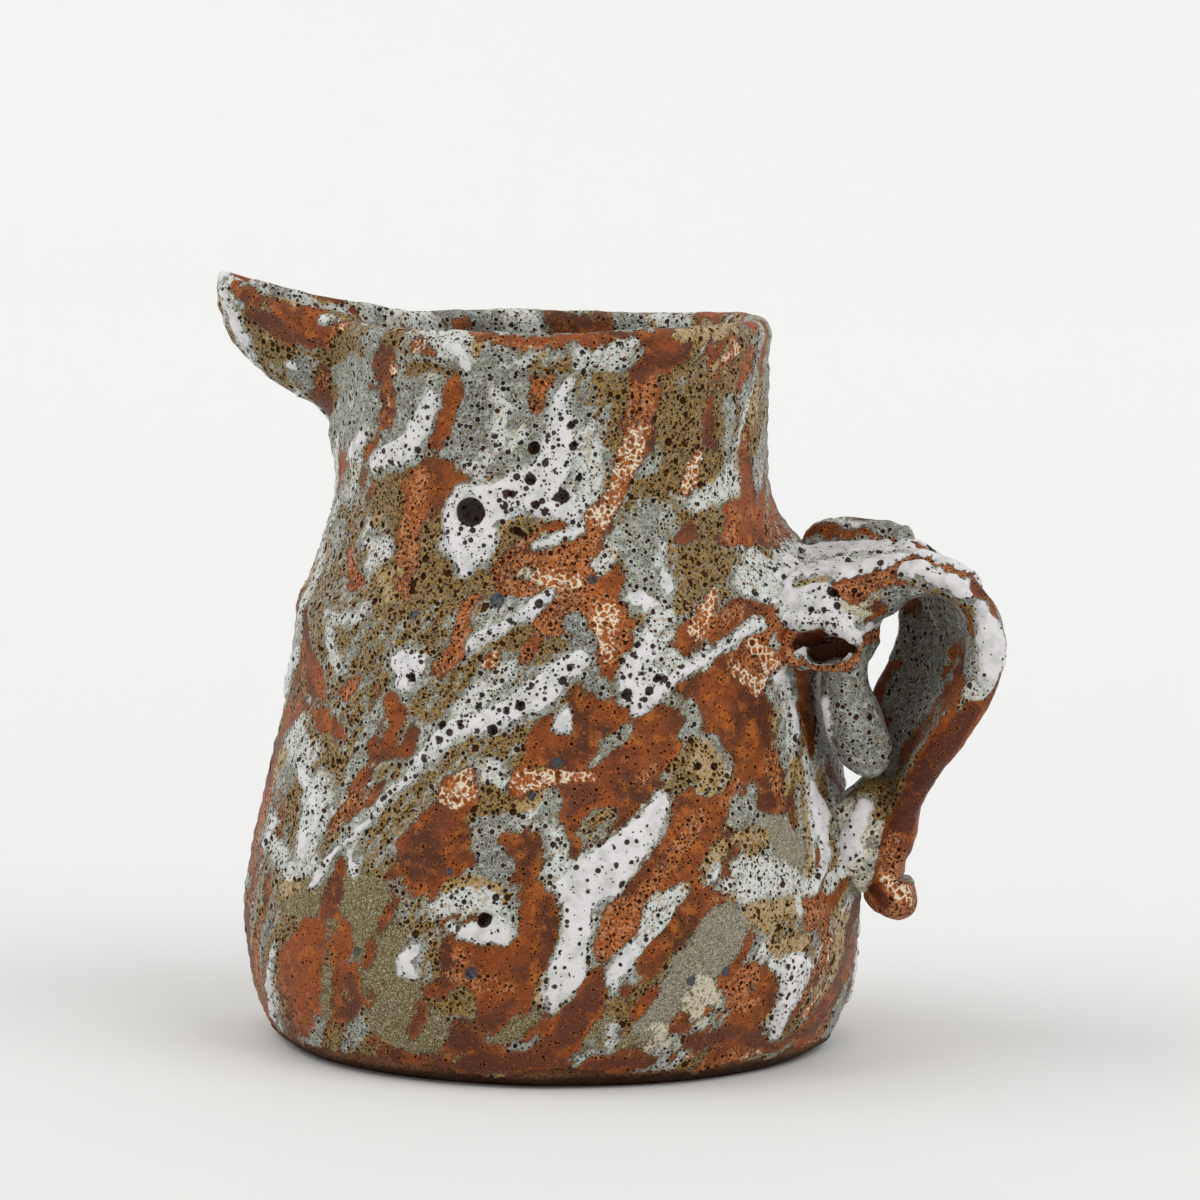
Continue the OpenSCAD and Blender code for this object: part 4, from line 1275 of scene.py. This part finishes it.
# The handle's purple is the strip's dark slip, and painted shade in the scroll's hollow
HANDLE_FINISH = GlazeFinish("crater_glaze_handle", slip_deep="#5A2A18", purple="#471B10", veil="#8B9184", pits=0.9)
CURL_FINISH = GlazeFinish("crater_glaze_curl", veil="#8B9184", veil_deep="#5C6155", pits=0.9)
WAD_FINISH = GlazeFinish("crater_glaze_wad", milk="#ECE7D4", veil="#B4B29C", pits=0.75)


def add_piece(name: str, mesh: Mesh, material: Material, nodes: tuple[str, ...]) -> Object:
    """Puts a finished mesh in the scene as a piece of the jug.

    Args:
        name: the piece's name.
        mesh: its mesh, in metres, already in place.
        material: its finish.
        nodes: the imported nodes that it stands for.

    Returns:
        The piece.
    """
    mesh.materials.clear()
    mesh.materials.append(material)
    mesh.polygons.foreach_set("use_smooth", np.ones(len(mesh.polygons), dtype=bool))
    piece = new_object(name, mesh)
    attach(piece, "root")
    if nodes:
        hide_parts(*nodes)
    log.info("piece %s: %d faces", name, len(mesh.polygons))
    return piece


@dataclass(frozen=True)
class Swell:
    """A ring where the wall stands out by size at height z, and less over width above and below. Millimetres."""

    size: float
    z: float
    width: float

    def at(self, levels: np.ndarray) -> np.ndarray:
        """How far the wall stands out at each height."""
        return self.size * np.exp(-((levels - self.z) / self.width) ** 2)


@dataclass(frozen=True)
class Wobble:
    """One size of the unevenness that hands leave in clay. Millimetres."""

    seed: int
    amount: float
    size: float
    layers: int = 1

    def at(self, points: np.ndarray) -> np.ndarray:
        """How far the clay stands out at each point."""
        return self.amount * Grain(self.seed).at(points, self.size, self.layers)


@dataclass
class JugWall:
    """The wall and the beak as one closed skin: underside, outside, lip, inside and floor. Millimetres."""

    # The mesh: columns round the jug, closer together on the beak, and the rows of each part
    columns: int = 432
    fine_columns: int = 4096
    beak_crowding: float = 0.9
    beak_width: float = 0.5
    underside: tuple[float, ...] = (0.3, 0.6, 0.8, 0.92, 0.98)
    outer_rows: int = 150
    rim_rows: int = 9
    inner_rows: int = 34
    floor_rows: int = 12
    # How the solids are read, and how far the reading is evened out along the columns and the rows
    far: float = 100.0
    least_radius: float = 20.0
    beak_half: float = 0.9
    crown_step: float = 0.2
    crown_reach: float = 10.0
    crown_easing: float = 2.0
    outer_easing: Span = (1.5, 1.2)
    inner_easing: Span = (2.0, 1.0)
    lift_from: float = 98.0
    well_z: float = 18.0
    # The foot's undercut edge
    chamfer_z: float = 1.6
    chamfer_r: float = 3.0
    edge_z: float = 0.02
    # The rim's roll, which is weaker on the far side and ends at the beak (cosines and sines of the angle round)
    roll: float = 0.8
    roll_heights: Span = (119.5, 122.0)
    groove: Swell = Swell(-0.35, 119.3, 0.9)
    bead: Swell = Swell(0.35, 117.0, 1.3)
    beak_cosines: Span = (0.72, 0.92)
    facing_turn: float = 12.0
    facing_sines: Span = (0.2, 0.7)
    far_roll: float = 0.25
    # The neck's wider root and the beak's fuller keel
    neck_swell: float = 0.6
    neck_rise: Span = (80.0, 90.0)
    neck_fall: Span = (100.0, 114.0)
    keel: Swell = Swell(1.6, 106.0, 5.0)
    keel_cosines: Span = (0.93, 1.0)
    # What hands leave: throwing rings, unevenness, the fillet at the handle and the rim's tilt
    throwing: float = 0.1
    throwing_pitch: float = 2.1
    throwing_drift: Wobble = Wobble(32, 2.0, 30.0)
    wobbles: tuple[Wobble, ...] = (Wobble(33, 0.5, 24.0), Wobble(34, 0.22, 8.0, 2), Wobble(35, 0.08, 2.4))
    sink: float = 0.25
    foot_ease: Span = (-0.4, 2.5)
    fillet_mm: float = 2.2
    fillet_reach: float = 8.0
    fillet_from_x: float = 25.0
    rim_tilt: float = 1.2
    tilt_x: Span = (4.0, 36.0)
    # The glaze: where it stops above the foot, and how much thinner it is inside
    bare_heights: Span = (1.6, 4.4)
    drip: Wobble = Wobble(31, 1.4, 9.0, 2)
    thinner_inside: float = 0.6
    # The map: its margin, the poles' room, and the room of the rows where it isn't full
    margin: float = 0.004
    pole_room: float = 2.0
    under_room: float = 0.12
    edge_room: float = 0.5
    inner_room: float = 0.42
    floor_room: float = 0.3
    rows: list[np.ndarray] = field(default_factory=list)
    row_weight: list[float] = field(default_factory=list)
    row_inside: list[float] = field(default_factory=list)
    angles: np.ndarray = field(default_factory=lambda: np.zeros(0))

    def spread_columns(self) -> None:
        """Sets the columns' angles, closer together on the beak."""
        fine = np.linspace(0.0, 2.0 * math.pi, self.fine_columns + 1)
        density = 1.0 + self.beak_crowding * np.exp(-((fine - math.pi) / self.beak_width) ** 2)
        steps = np.concatenate(([0.0], np.cumsum((density[1:] + density[:-1]) / 2.0)))
        self.angles = np.interp(np.arange(self.columns) / self.columns, steps / steps[-1], fine)

    def _radii(self, solids: PackedSolids, heights: np.ndarray, outside: bool) -> np.ndarray:
        """The wall's radius in each column at its own height, from outside or from the axis.

        Args:
            solids: the body and the beak.
            heights: one for each column.
            outside: whether it's the outer face.

        Returns:
            One radius for each column.
        """
        radii = np.zeros(self.columns)
        for i, (angle, z) in enumerate(zip(self.angles, heights)):
            out = Vector((math.cos(angle), math.sin(angle), 0.0))
            start = out * self.far if outside else Vector((0.0, 0.0, 0.0))
            hit = solids.hit(start + Vector((0.0, 0.0, z)), -out if outside else out)
            radii[i] = hit.dot(out) if hit is not None else np.nan
        bad = ~(radii > self.least_radius)
        if bad.any() and not bad.all():
            radii[bad] = np.interp(np.nonzero(bad)[0], np.nonzero(~bad)[0], radii[~bad])
        return radii

    def _crown(self, solids: PackedSolids) -> np.ndarray:
        """The height of the lip in each column.

        Args:
            solids: the body and the beak.

        Returns:
            One height for each column.
        """
        crown = np.full(self.columns, RIM_Z)
        for z in np.arange(RIM_Z + self.crown_step, RIM_Z + self.crown_reach, self.crown_step):
            for i, angle in enumerate(self.angles):
                if abs(angle - math.pi) > self.beak_half:
                    continue
                out = Vector((math.cos(angle), math.sin(angle), 0.0))
                hit = solids.hit(out * self.far + Vector((0.0, 0.0, z)), -out)
                if hit is not None and hit.dot(out) > self.least_radius:
                    crown[i] = z
        return self._even_columns(crown[None], self.crown_easing)[0]

    @staticmethod
    def _bell(sigma: float) -> np.ndarray:
        """The weights of a bell that is cut off at three times sigma."""
        reach = int(3 * sigma)
        weights = np.exp(-0.5 * (np.arange(-reach, reach + 1) / sigma) ** 2)
        return weights / weights.sum()

    def _even_columns(self, sheet: np.ndarray, sigma: float) -> np.ndarray:
        """Smooths along the columns, which close on themselves."""
        weights = self._bell(sigma)
        reach = len(weights) // 2
        return sum(w * np.roll(sheet, k, axis=1) for w, k in zip(weights, range(-reach, reach + 1)))

    def _even(self, sheet: np.ndarray, across: float, up: float) -> np.ndarray:
        """Smooths along the columns, then up and down the rows with the end rows held out."""
        weights = self._bell(up)
        reach = len(weights) // 2
        sheet = self._even_columns(sheet, across)
        padded = np.pad(sheet, ((reach, reach), (0, 0)), mode="reflect", reflect_type="odd")
        return sum(w * padded[k:k + len(sheet)] for k, w in enumerate(weights))

    def _ring(self, radii: np.ndarray, heights: np.ndarray, weight: float, inside: float) -> None:
        """Adds one ring of the skin."""
        heights = np.broadcast_to(heights, radii.shape)
        self.rows.append(np.stack((radii * np.cos(self.angles), radii * np.sin(self.angles), heights), axis=1))
        self.row_weight.append(weight)
        self.row_inside.append(inside)

    def _work_outside(self, outer: np.ndarray, levels: np.ndarray) -> None:
        """Gives the outside its rolled rim, the neck's root and the beak's keel.

        Args:
            outer: the radii, row by row, which it changes.
            levels: each row's height.
        """
        toward_beak = np.cos(self.angles - math.pi)
        facing = ramp(-np.sin(self.angles - math.radians(self.facing_turn)), *self.facing_sines)
        roll = self.roll * ramp(levels, *self.roll_heights) + self.groove.at(levels) + self.bead.at(levels)
        strength = self.far_roll + (1.0 - self.far_roll) * facing
        outer += roll[:, None] * (1.0 - ramp(toward_beak, *self.beak_cosines)) * strength
        outer += self.neck_swell * (ramp(levels, *self.neck_rise) - ramp(levels, *self.neck_fall))[:, None]
        outer += self.keel.at(levels)[:, None] * ramp(toward_beak, *self.keel_cosines)

    def read(self, solids: PackedSolids) -> None:
        """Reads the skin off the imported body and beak, ring by ring from the middle of the underside.

        Args:
            solids: the body and the beak.
        """
        self.spread_columns()
        top = RIM_Z - LIP_R
        lift = self._crown(solids) - RIM_Z
        levels = np.linspace(self.chamfer_z, top, self.outer_rows)
        outer_z = levels[:, None] + lift * ramp(levels, self.lift_from, top)[:, None]
        outer = self._even(np.array([self._radii(solids, z, True) for z in outer_z]), *self.outer_easing)
        self._work_outside(outer, levels)
        levels = np.linspace(top, self.well_z, self.inner_rows)
        inner_z = levels[:, None] + lift * ramp(levels, self.lift_from, top)[:, None]
        inner = self._even(np.array([self._radii(solids, z, False) for z in inner_z]), *self.inner_easing)

        foot = outer[0] - self.chamfer_r
        for share in self.underside:
            self._ring(foot * share, np.zeros(1), self.under_room, 0.0)
        self._ring(foot, np.array([self.edge_z]), self.edge_room, 0.0)
        for radii, z in zip(outer, outer_z):
            self._ring(radii, z, 1.0, 0.0)
        middle, half = (outer[-1] + inner[0]) / 2.0, (outer[-1] - inner[0]) / 2.0
        for a in np.linspace(0.0, math.pi, self.rim_rows + 2)[1:-1]:
            self._ring(middle + half * math.cos(a), outer_z[-1] + LIP_R * math.sin(a), 1.0, 0.5 - 0.5 * math.cos(a))
        for radii, z in zip(inner, inner_z):
            self._ring(radii, z, self.inner_room, 1.0)
        for k in range(1, self.floor_rows):
            slope = 0.5 * math.pi * k / self.floor_rows
            reach = self._floor(solids, slope)
            self._ring(reach * math.cos(slope), self.well_z - reach * math.sin(slope), self.floor_room, 1.0)

    def _floor(self, solids: PackedSolids, slope: float) -> np.ndarray:
        """How far the inside is from the middle of the well, down a slope, in each column.

        Args:
            solids: the body and the beak.
            slope: in radians.

        Returns:
            One distance for each column.
        """
        reach = np.zeros(self.columns)
        well = Vector((0.0, 0.0, self.well_z))
        for i, angle in enumerate(self.angles):
            ray = Vector((math.cos(angle) * math.cos(slope), math.sin(angle) * math.cos(slope), -math.sin(slope)))
            reach[i] = (solids.hit(well, ray) - well).length
        return reach

    @staticmethod
    def _normals(grid: np.ndarray) -> np.ndarray:
        """The skin's outward directions at the points of a grid of rings."""
        around = np.roll(grid, -1, axis=1) - np.roll(grid, 1, axis=1)
        normal = np.cross(around, np.gradient(grid, axis=0))
        return normal / np.maximum(np.linalg.norm(normal, axis=2, keepdims=True), 1e-9)

    def shape(self, plan: RunPlan, handle: PackedSolids) -> tuple[np.ndarray, GlazeCoat]:
        """Wobbles, fillets, glazes and pits the skin.

        Args:
            plan: the runs of glaze.
            handle: the handle's solids, which the wall is filleted up to.

        Returns:
            The grid of rings, and the coat at its points.
        """
        grid = np.array(self.rows)
        flat = grid.reshape(-1, 3)
        inside = np.repeat(self.row_inside, self.columns)
        row = np.repeat(np.arange(len(self.rows)), self.columns)
        foot_row = len(self.underside)
        under = row <= foot_row
        coat = GlazeCoat(flat, inside)
        coat.prime(plan.slant)
        coat.lay(plan)
        glazed = ramp(flat[:, 2] + self.drip.at(flat), *self.bare_heights)
        coat.layers["bare"] = np.maximum((1.0 - glazed) * (1.0 - inside), under)
        coat.layers["dark"][under] = 0.0
        # The foot's undercut rows are painted dark: painted shade where the foot meets the floor
        coat.layers["dark"][(row == foot_row) | (row == foot_row + 1)] = 1.0
        gaps = np.full(len(flat), self.fillet_reach)
        near = (flat[:, 0] > self.fillet_from_x) & (inside < 0.5) & ~under
        gaps[near] = handle.gaps(flat[near], self.fillet_reach)
        fillet = self.fillet_mm * (1.0 - gaps / self.fillet_reach) ** 2
        rings = np.sin(flat[:, 2] * self.throwing_pitch + self.throwing_drift.at(flat)) * (inside < 0.5)
        stand = coat.thickness() * (1.0 - self.thinner_inside * inside) + fillet + self.throwing * rings
        stand += sum(wobble.at(flat) for wobble in self.wobbles) - self.sink
        stand *= np.where(under, 0.0, ramp(flat[:, 2], *self.foot_ease))
        worked = flat + self._normals(grid).reshape(-1, 3) * stand[:, None]
        high = ramp(flat[:, 2], *LEAN_HEIGHTS)
        worked[:, 0] -= NECK_LEAN * high
        worked[:, 2] += self.rim_tilt * high * ramp(flat[:, 0], *self.tilt_x)
        return worked.reshape(grid.shape), coat

    def build(self, plan: RunPlan, handle: PackedSolids, material: Material) -> Object:
        """Makes the wall's mesh, with its own map for baking, and dresses it.

        Args:
            plan: the runs of glaze.
            handle: the handle's solids.
            material: the wall's finish.

        Returns:
            The wall.
        """
        grid, coat = self.shape(plan, handle)
        rings, columns = grid.shape[:2]
        first, last = rings * columns, rings * columns + 1
        poles = np.array([[0.0, 0.0, 0.0], [0.0, 0.0, grid[-1, :, 2].mean()]])
        points = np.concatenate((grid.reshape(-1, 3), poles))
        for name, layer in coat.layers.items():
            coat.layers[name] = np.append(layer, (layer[0], layer[-1]))
        i, j = np.meshgrid(np.arange(rings - 1), np.arange(columns), indexing="ij")
        k = (j + 1) % columns
        quads = np.stack((i * columns + j, i * columns + k, (i + 1) * columns + k, (i + 1) * columns + j), axis=2)
        end = (rings - 1) * columns
        sides = [(a, (a + 1) % columns) for a in range(columns)]
        bottom = [(first, b, a) for a, b in sides]
        top = [(last, end + a, end + b) for a, b in sides]
        mesh = bpy.data.meshes.new("jug_wall")
        mesh.from_pydata((points * MM).tolist(), [], quads.reshape(-1, 4).tolist() + bottom + top)
        coat.write(mesh)
        self._map(mesh, grid)
        return add_piece("jug_wall", mesh, material, BODY_NODES)

    def _map(self, mesh: Mesh, grid: np.ndarray) -> None:
        """Unrolls the skin on to one map: columns across, rings up, with more room for the outside.

        Args:
            mesh: the wall's mesh.
            grid: its points, ring by ring.
        """
        rings, columns = grid.shape[:2]
        steps = np.linalg.norm(np.diff(grid, axis=0), axis=2).mean(axis=1)
        weights = np.array(self.row_weight)
        room = self.pole_room + np.concatenate(([0.0], np.cumsum(steps * (weights[1:] + weights[:-1]) / 2.0)))
        used = 1.0 - 2.0 * self.margin
        climb = self.margin + used * room / (room[-1] + self.pole_room)
        loops = np.zeros(len(mesh.loops), dtype=np.int64)
        mesh.loops.foreach_get("vertex_index", loops)
        across, up = np.zeros(len(loops)), np.zeros(len(loops))
        walls, fans = (rings - 1) * columns * 4, columns * 3
        column = np.repeat(np.tile(np.arange(columns), rings - 1), 4)
        across[:walls] = (column + np.tile([0, 1, 1, 0], (rings - 1) * columns)) / columns
        up[:walls] = climb[loops[:walls] // columns]
        fan = np.repeat(np.arange(columns), 3)
        pole = self.margin / 2.0
        for start, corners, heights in ((walls, (0.5, 1.0, 0.0), (pole, climb[0], climb[0])),
                                        (walls + fans, (0.5, 0.0, 1.0), (1.0 - pole, climb[-1], climb[-1]))):
            across[start:start + fans] = (fan + np.tile(corners, columns)) / columns
            up[start:start + fans] = np.tile(heights, columns)
        layer = mesh.uv_layers.new(name="OFBake")
        layer.data.foreach_set("uv", np.stack((self.margin + used * across, up), axis=1).astype(np.float32).ravel())


@dataclass
class HandlePiece:
    """One luted piece of the handle, remeshed from its solid so that it can be worked like clay. Millimetres."""

    node: str
    slot: str
    voxel: float = 0.5
    easing: int = 12
    ease_factor: float = 0.5
    # How far the piece flares out to the wall, and swells out to the other pieces
    flare: float = 1.2
    flare_reach: float = 5.0
    weld: float = 0.8
    weld_reach: float = 2.5
    wobble: float = 0.3
    fine_wobble: float = 0.14
    wobble_sizes: Span = (5.0, 1.8)
    sink: float = 0.15
    # The glaze under the runs: the ground, white on what faces up, and grey on what faces the loop's middle
    seed: int = 9
    lava_mm: float = 0.9
    ground: Kind = RUST
    ground_share: float = 0.8
    white_share: float = 0.85
    upward: Span = (0.35, 0.7)
    inward: Span = (0.2, 0.6)
    loop_middle: Place = (62.0, 0.0, 62.0)

    def clay(self) -> Mesh:
        """A fine, even, softened mesh of the solid.

        Returns:
            The mesh.
        """
        work = bmesh.new()
        work.from_mesh(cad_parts[self.node].data)
        bmesh.ops.remove_doubles(work, verts=work.verts, dist=1e-6)
        mesh = bpy.data.meshes.new(self.node + "_work")
        work.to_mesh(mesh)
        work.free()
        mesh.materials.clear()
        lump = new_object(self.node + "_work", mesh)
        remesh = lump.modifiers.new("Even", "REMESH")
        remesh.mode = "VOXEL"
        remesh.voxel_size = self.voxel * MM
        ease = lump.modifiers.new("Ease", "SMOOTH")
        ease.factor = self.ease_factor
        ease.iterations = self.easing
        graph = bpy.context.evaluated_depsgraph_get()
        result = bpy.data.meshes.new_from_object(lump.evaluated_get(graph))
        bpy.data.objects.remove(lump)
        bpy.data.meshes.remove(mesh)
        result.name = self.node + "_clay"
        return result

    def build(self, plan: RunPlan, wall: PackedSolids, material: Material) -> Object:
        """Wobbles, flares and glazes the clay, and dresses it.

        Args:
            plan: the runs of glaze.
            wall: the wall's solids.
            material: the piece's finish.

        Returns:
            The piece.
        """
        mesh = self.clay()
        points = np.zeros(len(mesh.vertices) * 3)
        normals = np.zeros(len(mesh.vertices) * 3)
        mesh.vertices.foreach_get("co", points)
        mesh.vertices.foreach_get("normal", normals)
        points, normals = points.reshape(-1, 3) / MM, normals.reshape(-1, 3)
        coat = GlazeCoat(points, np.zeros(len(points)), seed=self.seed, lava_mm=self.lava_mm)
        coat.prime(plan.slant)
        inward = np.array(self.loop_middle) - points
        inward = np.sum(normals * inward, axis=1) / np.linalg.norm(inward, axis=1)
        coat.settle(np.full(len(points), self.ground_share), self.ground)
        coat.settle(self.white_share * ramp(normals[:, 2], *self.upward), WHITE)
        coat.settle(ramp(inward, *self.inward), GREY)
        coat.lay(plan)
        stand = coat.thickness() - self.sink
        others = PackedSolids(*(n for n in HANDLE_NODES if n != self.node))
        for solids, swell, reach in ((wall, self.flare, self.flare_reach), (others, self.weld, self.weld_reach)):
            stand += swell * (1.0 - solids.gaps(points, reach) / reach) ** 2
        wide, fine = self.wobble_sizes
        stand += Wobble(41, self.wobble, wide, 2).at(points) + Wobble(42, self.fine_wobble, fine).at(points)
        mesh.vertices.foreach_set("co", ((points + normals * stand[:, None]) * MM).ravel())
        coat.write(mesh)
        return add_piece("glazed_" + self.node, mesh, material, (self.node,))


@dataclass(frozen=True)
class GrainFinish:
    """The two colours of a scattered grain, how rough it is, and its lumps for each millimetre."""

    name: str
    pale: str
    stain: str
    rough: float
    gloss: float = 0.3
    bump: float = 0.5
    bump_mm: float = 0.2
    clouds: float = 0.5
    specks: float = 4.0

    def material(self) -> Material:
        """A stained, slightly lumpy grain.

        Returns:
            The material.
        """
        material = bpy.data.materials.new(self.name)
        material.use_nodes = True
        w = Wiring(material.node_tree)
        shader = material.node_tree.nodes["Principled BSDF"]
        where = w.node("ShaderNodeTexCoord").outputs["Object"]
        cloud, speck = w.noise(where, self.clouds / MM, 3.0), w.noise(where, self.specks / MM, 2.0)
        colour = w.blend(w.span(cloud, 0.42, 0.62), hex_colour(self.pale), hex_colour(self.stain))
        colour = w.blend(w.math("MULTIPLY", w.span(speck, 0.54, 0.66), 0.4), colour, hex_colour(self.stain))
        w.tree.links.new(colour, shader.inputs["Base Color"])
        feeds = {"Strength": self.bump, "Distance": self.bump_mm * MM, "Height": speck}
        bump = w.node("ShaderNodeBump", feeds)
        w.tree.links.new(bump.outputs["Normal"], shader.inputs["Normal"])
        shader.inputs["Roughness"].default_value = self.rough
        shader.inputs["Specular IOR Level"].default_value = self.gloss
        return material


class Scatter:
    """The node tree that sows grains on a skin, wherever one of its layers is thick."""

    def __init__(self) -> None:
        """Builds the tree once."""
        tree = bpy.data.node_groups.new("Sow grains", "GeometryNodeTree")
        sockets = {"Geometry": "Geometry", "Layer": "String", "Above": "Float", "Density": "Float", "Smallest": "Float",
                   "Largest": "Float", "Seed": "Int", "Material": "Material"}
        for name, kind in sockets.items():
            tree.interface.new_socket(name, in_out="INPUT", socket_type=f"NodeSocket{kind}")
        tree.interface.new_socket("Geometry", in_out="OUTPUT", socket_type="NodeSocketGeometry")
        w = Wiring(tree)
        given = w.node("NodeGroupInput").outputs
        layer = w.node("GeometryNodeInputNamedAttribute", {"Name": given["Layer"]}, data_type="FLOAT")
        thick = w.node("FunctionNodeCompare", {0: layer.outputs[0], 1: given["Above"]}, operation="GREATER_THAN")
        places = w.node("GeometryNodeDistributePointsOnFaces", {
            "Mesh": given["Geometry"], "Selection": thick.outputs[0], "Density": given["Density"],
            "Seed": given["Seed"]})
        ball = w.node("GeometryNodeMeshIcoSphere", {"Radius": 1.0, "Subdivisions": 1})
        size = w.node("FunctionNodeRandomValue", {2: given["Smallest"], 3: given["Largest"], "Seed": given["Seed"]})
        grains = w.node("GeometryNodeInstanceOnPoints", {
            "Points": places.outputs["Points"], "Instance": ball.outputs["Mesh"],
            "Rotation": places.outputs["Rotation"], "Scale": size.outputs[1]})
        whole = w.node("GeometryNodeRealizeInstances", {0: grains.outputs[0]})
        dressed = w.node("GeometryNodeSetMaterial", {"Geometry": whole.outputs[0], "Material": given["Material"]})
        w.node("NodeGroupOutput", {0: dressed.outputs[0]})
        self.tree = tree

    def sow(self, skin: Object, values: dict[str, object]) -> Mesh:
        """Runs the tree on a copy of the skin.

        Args:
            skin: the dressed piece that carries the layers.
            values: the tree's inputs by name.

        Returns:
            The grains as one mesh.
        """
        host = new_object("sown", skin.data)
        modifier = host.modifiers.new("Sow", "NODES")
        modifier.node_group = self.tree
        names = {item.name: item.identifier for item in self.tree.interface.items_tree if item.in_out == "INPUT"}
        for name, value in values.items():
            modifier[names[name]] = value
        graph = bpy.context.evaluated_depsgraph_get()
        mesh = bpy.data.meshes.new_from_object(host.evaluated_get(graph))
        host.modifiers.remove(modifier)
        bpy.data.objects.remove(host)
        return mesh


@dataclass
class Grains:
    """One sowing of grains on the wall. Sizes in millimetres, density for each square millimetre."""

    name: str
    layer: str
    finish: GrainFinish
    density: float
    sizes: Span
    seed: int
    above: float = 0.6

    def build(self, scatter: Scatter, wall: Object) -> Object:
        """Sows the grains and dresses them."""
        material = self.finish.material()
        mesh = scatter.sow(wall, {
            "Layer": "glaze_" + self.layer, "Above": self.above, "Density": self.density / MM ** 2,
            "Smallest": self.sizes[0] * MM, "Largest": self.sizes[1] * MM, "Seed": self.seed, "Material": material})
        return add_piece(self.name, mesh, material, ())


GROG_FINISH = GrainFinish("grog_grain", "#BBAE84", "#7E6C40", 0.8)
FROTH_FINISH = GrainFinish("froth_bead", "#EDE7DF", "#C9A878", 0.45)


@dataclass
class Studio:
    """A plain pale floor that curves up all round, a soft sky and a broad sun from each side. Metres."""

    floor_colour: str = "#F1F1F0"
    floor_rough: float = 0.75
    floor_gloss: float = 0.2
    flat_radius: float = 2.6
    bend_radius: float = 1.2
    bend_rows: int = 12
    wall_height: float = 2.6
    sides: int = 64
    drop: float = 0.0001
    sky: float = 0.6
    sun_angle: float = 50.0
    suns: tuple[tuple[float, Place], ...] = ((1.0, (-0.95, -0.3, 0.95)), (1.2, (1.0, -0.4, 0.9)))

    def build(self) -> None:
        """Makes the floor, the sky and the suns."""
        self._floor()
        world = bpy.data.worlds.new("studio_sky")
        world.use_nodes = True
        world.node_tree.nodes["Background"].inputs["Color"].default_value = (1.0, 1.0, 1.0, 1.0)
        world.node_tree.nodes["Background"].inputs["Strength"].default_value = self.sky
        bpy.context.scene.world = world
        for energy, come_from in self.suns:
            light = bpy.data.lights.new("broad_sun", "SUN")
            light.energy = energy
            light.angle = math.radians(self.sun_angle)
            lamp = new_object("broad_sun", light)
            lamp.rotation_euler = (-Vector(come_from)).to_track_quat("-Z", "Y").to_euler()

    def _floor(self) -> None:
        """The floor and the wall round it as one dish."""
        bend = [0.5 * math.pi * k / self.bend_rows for k in range(self.bend_rows + 1)]
        profile = [(self.flat_radius + self.bend_radius * math.sin(a), self.bend_radius * (1.0 - math.cos(a)))
                   for a in bend] + [(self.flat_radius + self.bend_radius, self.wall_height)]
        turns = [2.0 * math.pi * k / self.sides for k in range(self.sides)]
        points = [(r * math.cos(t), r * math.sin(t), z - self.drop) for r, z in profile for t in turns]
        faces = [(i * self.sides + j, i * self.sides + (j + 1) % self.sides,
                  (i + 1) * self.sides + (j + 1) % self.sides, (i + 1) * self.sides + j)
                 for i in range(len(profile) - 1) for j in range(self.sides)]
        faces.append(tuple(reversed(range(self.sides))))
        mesh = bpy.data.meshes.new("studio_floor")
        mesh.from_pydata(points, [], faces)
        mesh.polygons.foreach_set("use_smooth", np.ones(len(faces), dtype=bool))
        mesh.flip_normals()
        material = bpy.data.materials.new("pale_floor")
        material.use_nodes = True
        shader = material.node_tree.nodes["Principled BSDF"]
        shader.inputs["Base Color"].default_value = hex_colour(self.floor_colour)
        shader.inputs["Roughness"].default_value = self.floor_rough
        shader.inputs["Specular IOR Level"].default_value = self.floor_gloss
        mesh.materials.append(material)
        new_object("studio_floor", mesh)


def main() -> None:
    """Builds the jug piece by piece, then the studio round it, and notes the sizes."""
    logging.basicConfig(level=logging.INFO, format="%(name)s: %(message)s")
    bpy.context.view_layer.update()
    camera = PhotoCamera()
    camera.make()
    plan = RunPlan(camera, PackedSolids(*BODY_NODES, *HANDLE_NODES))
    plan.draw_unseen()
    plan.drop_seen()
    glaze = CraterGlaze()
    wall_solids, handle_solids = PackedSolids(*BODY_NODES), PackedSolids(*HANDLE_NODES)
    wall = JugWall()
    wall.read(wall_solids)
    skin = wall.build(plan, handle_solids, glaze.material(WALL_FINISH))
    scatter = Scatter()
    for grains in (Grains("grog_grains", "sand", GROG_FINISH, 0.16, (0.12, 0.36), 3),
                   Grains("froth_beads", "net", FROTH_FINISH, 0.3, (0.12, 0.3), 4)):
        grains.build(scatter, skin)
    handle, curl, wad = (glaze.material(f) for f in (HANDLE_FINISH, CURL_FINISH, WAD_FINISH))
    for piece, material in (
            (HandlePiece("strap_handle", "glazed_handle", easing=24), handle),
            (HandlePiece("root_scroll", "glazed_handle", voxel=0.4, easing=8, wobble=1.5, ground=FOAM), handle),
            (HandlePiece("tail_curl", "glazed_curl", easing=16, ground=GREY), curl),
            (HandlePiece("thumb_coil", "glazed_curl", voxel=0.4, easing=10, ground=VEIL), curl),
            (HandlePiece("crest_pellet", "glazed_handle", voxel=0.2, easing=6, wobble=0.1, flare=0.0), handle),
            (HandlePiece("lower_wad", "glazed_wad", easing=16, ground=PALE), wad),
            (HandlePiece("terminal_knob", "glazed_handle", voxel=0.4, easing=12, ground=FOAM), handle)):
        piece.build(plan, wall_solids, material)
    Studio().build()
    bpy.context.scene.view_settings.view_transform = "Standard"


if __name__ == "__main__":
    main()
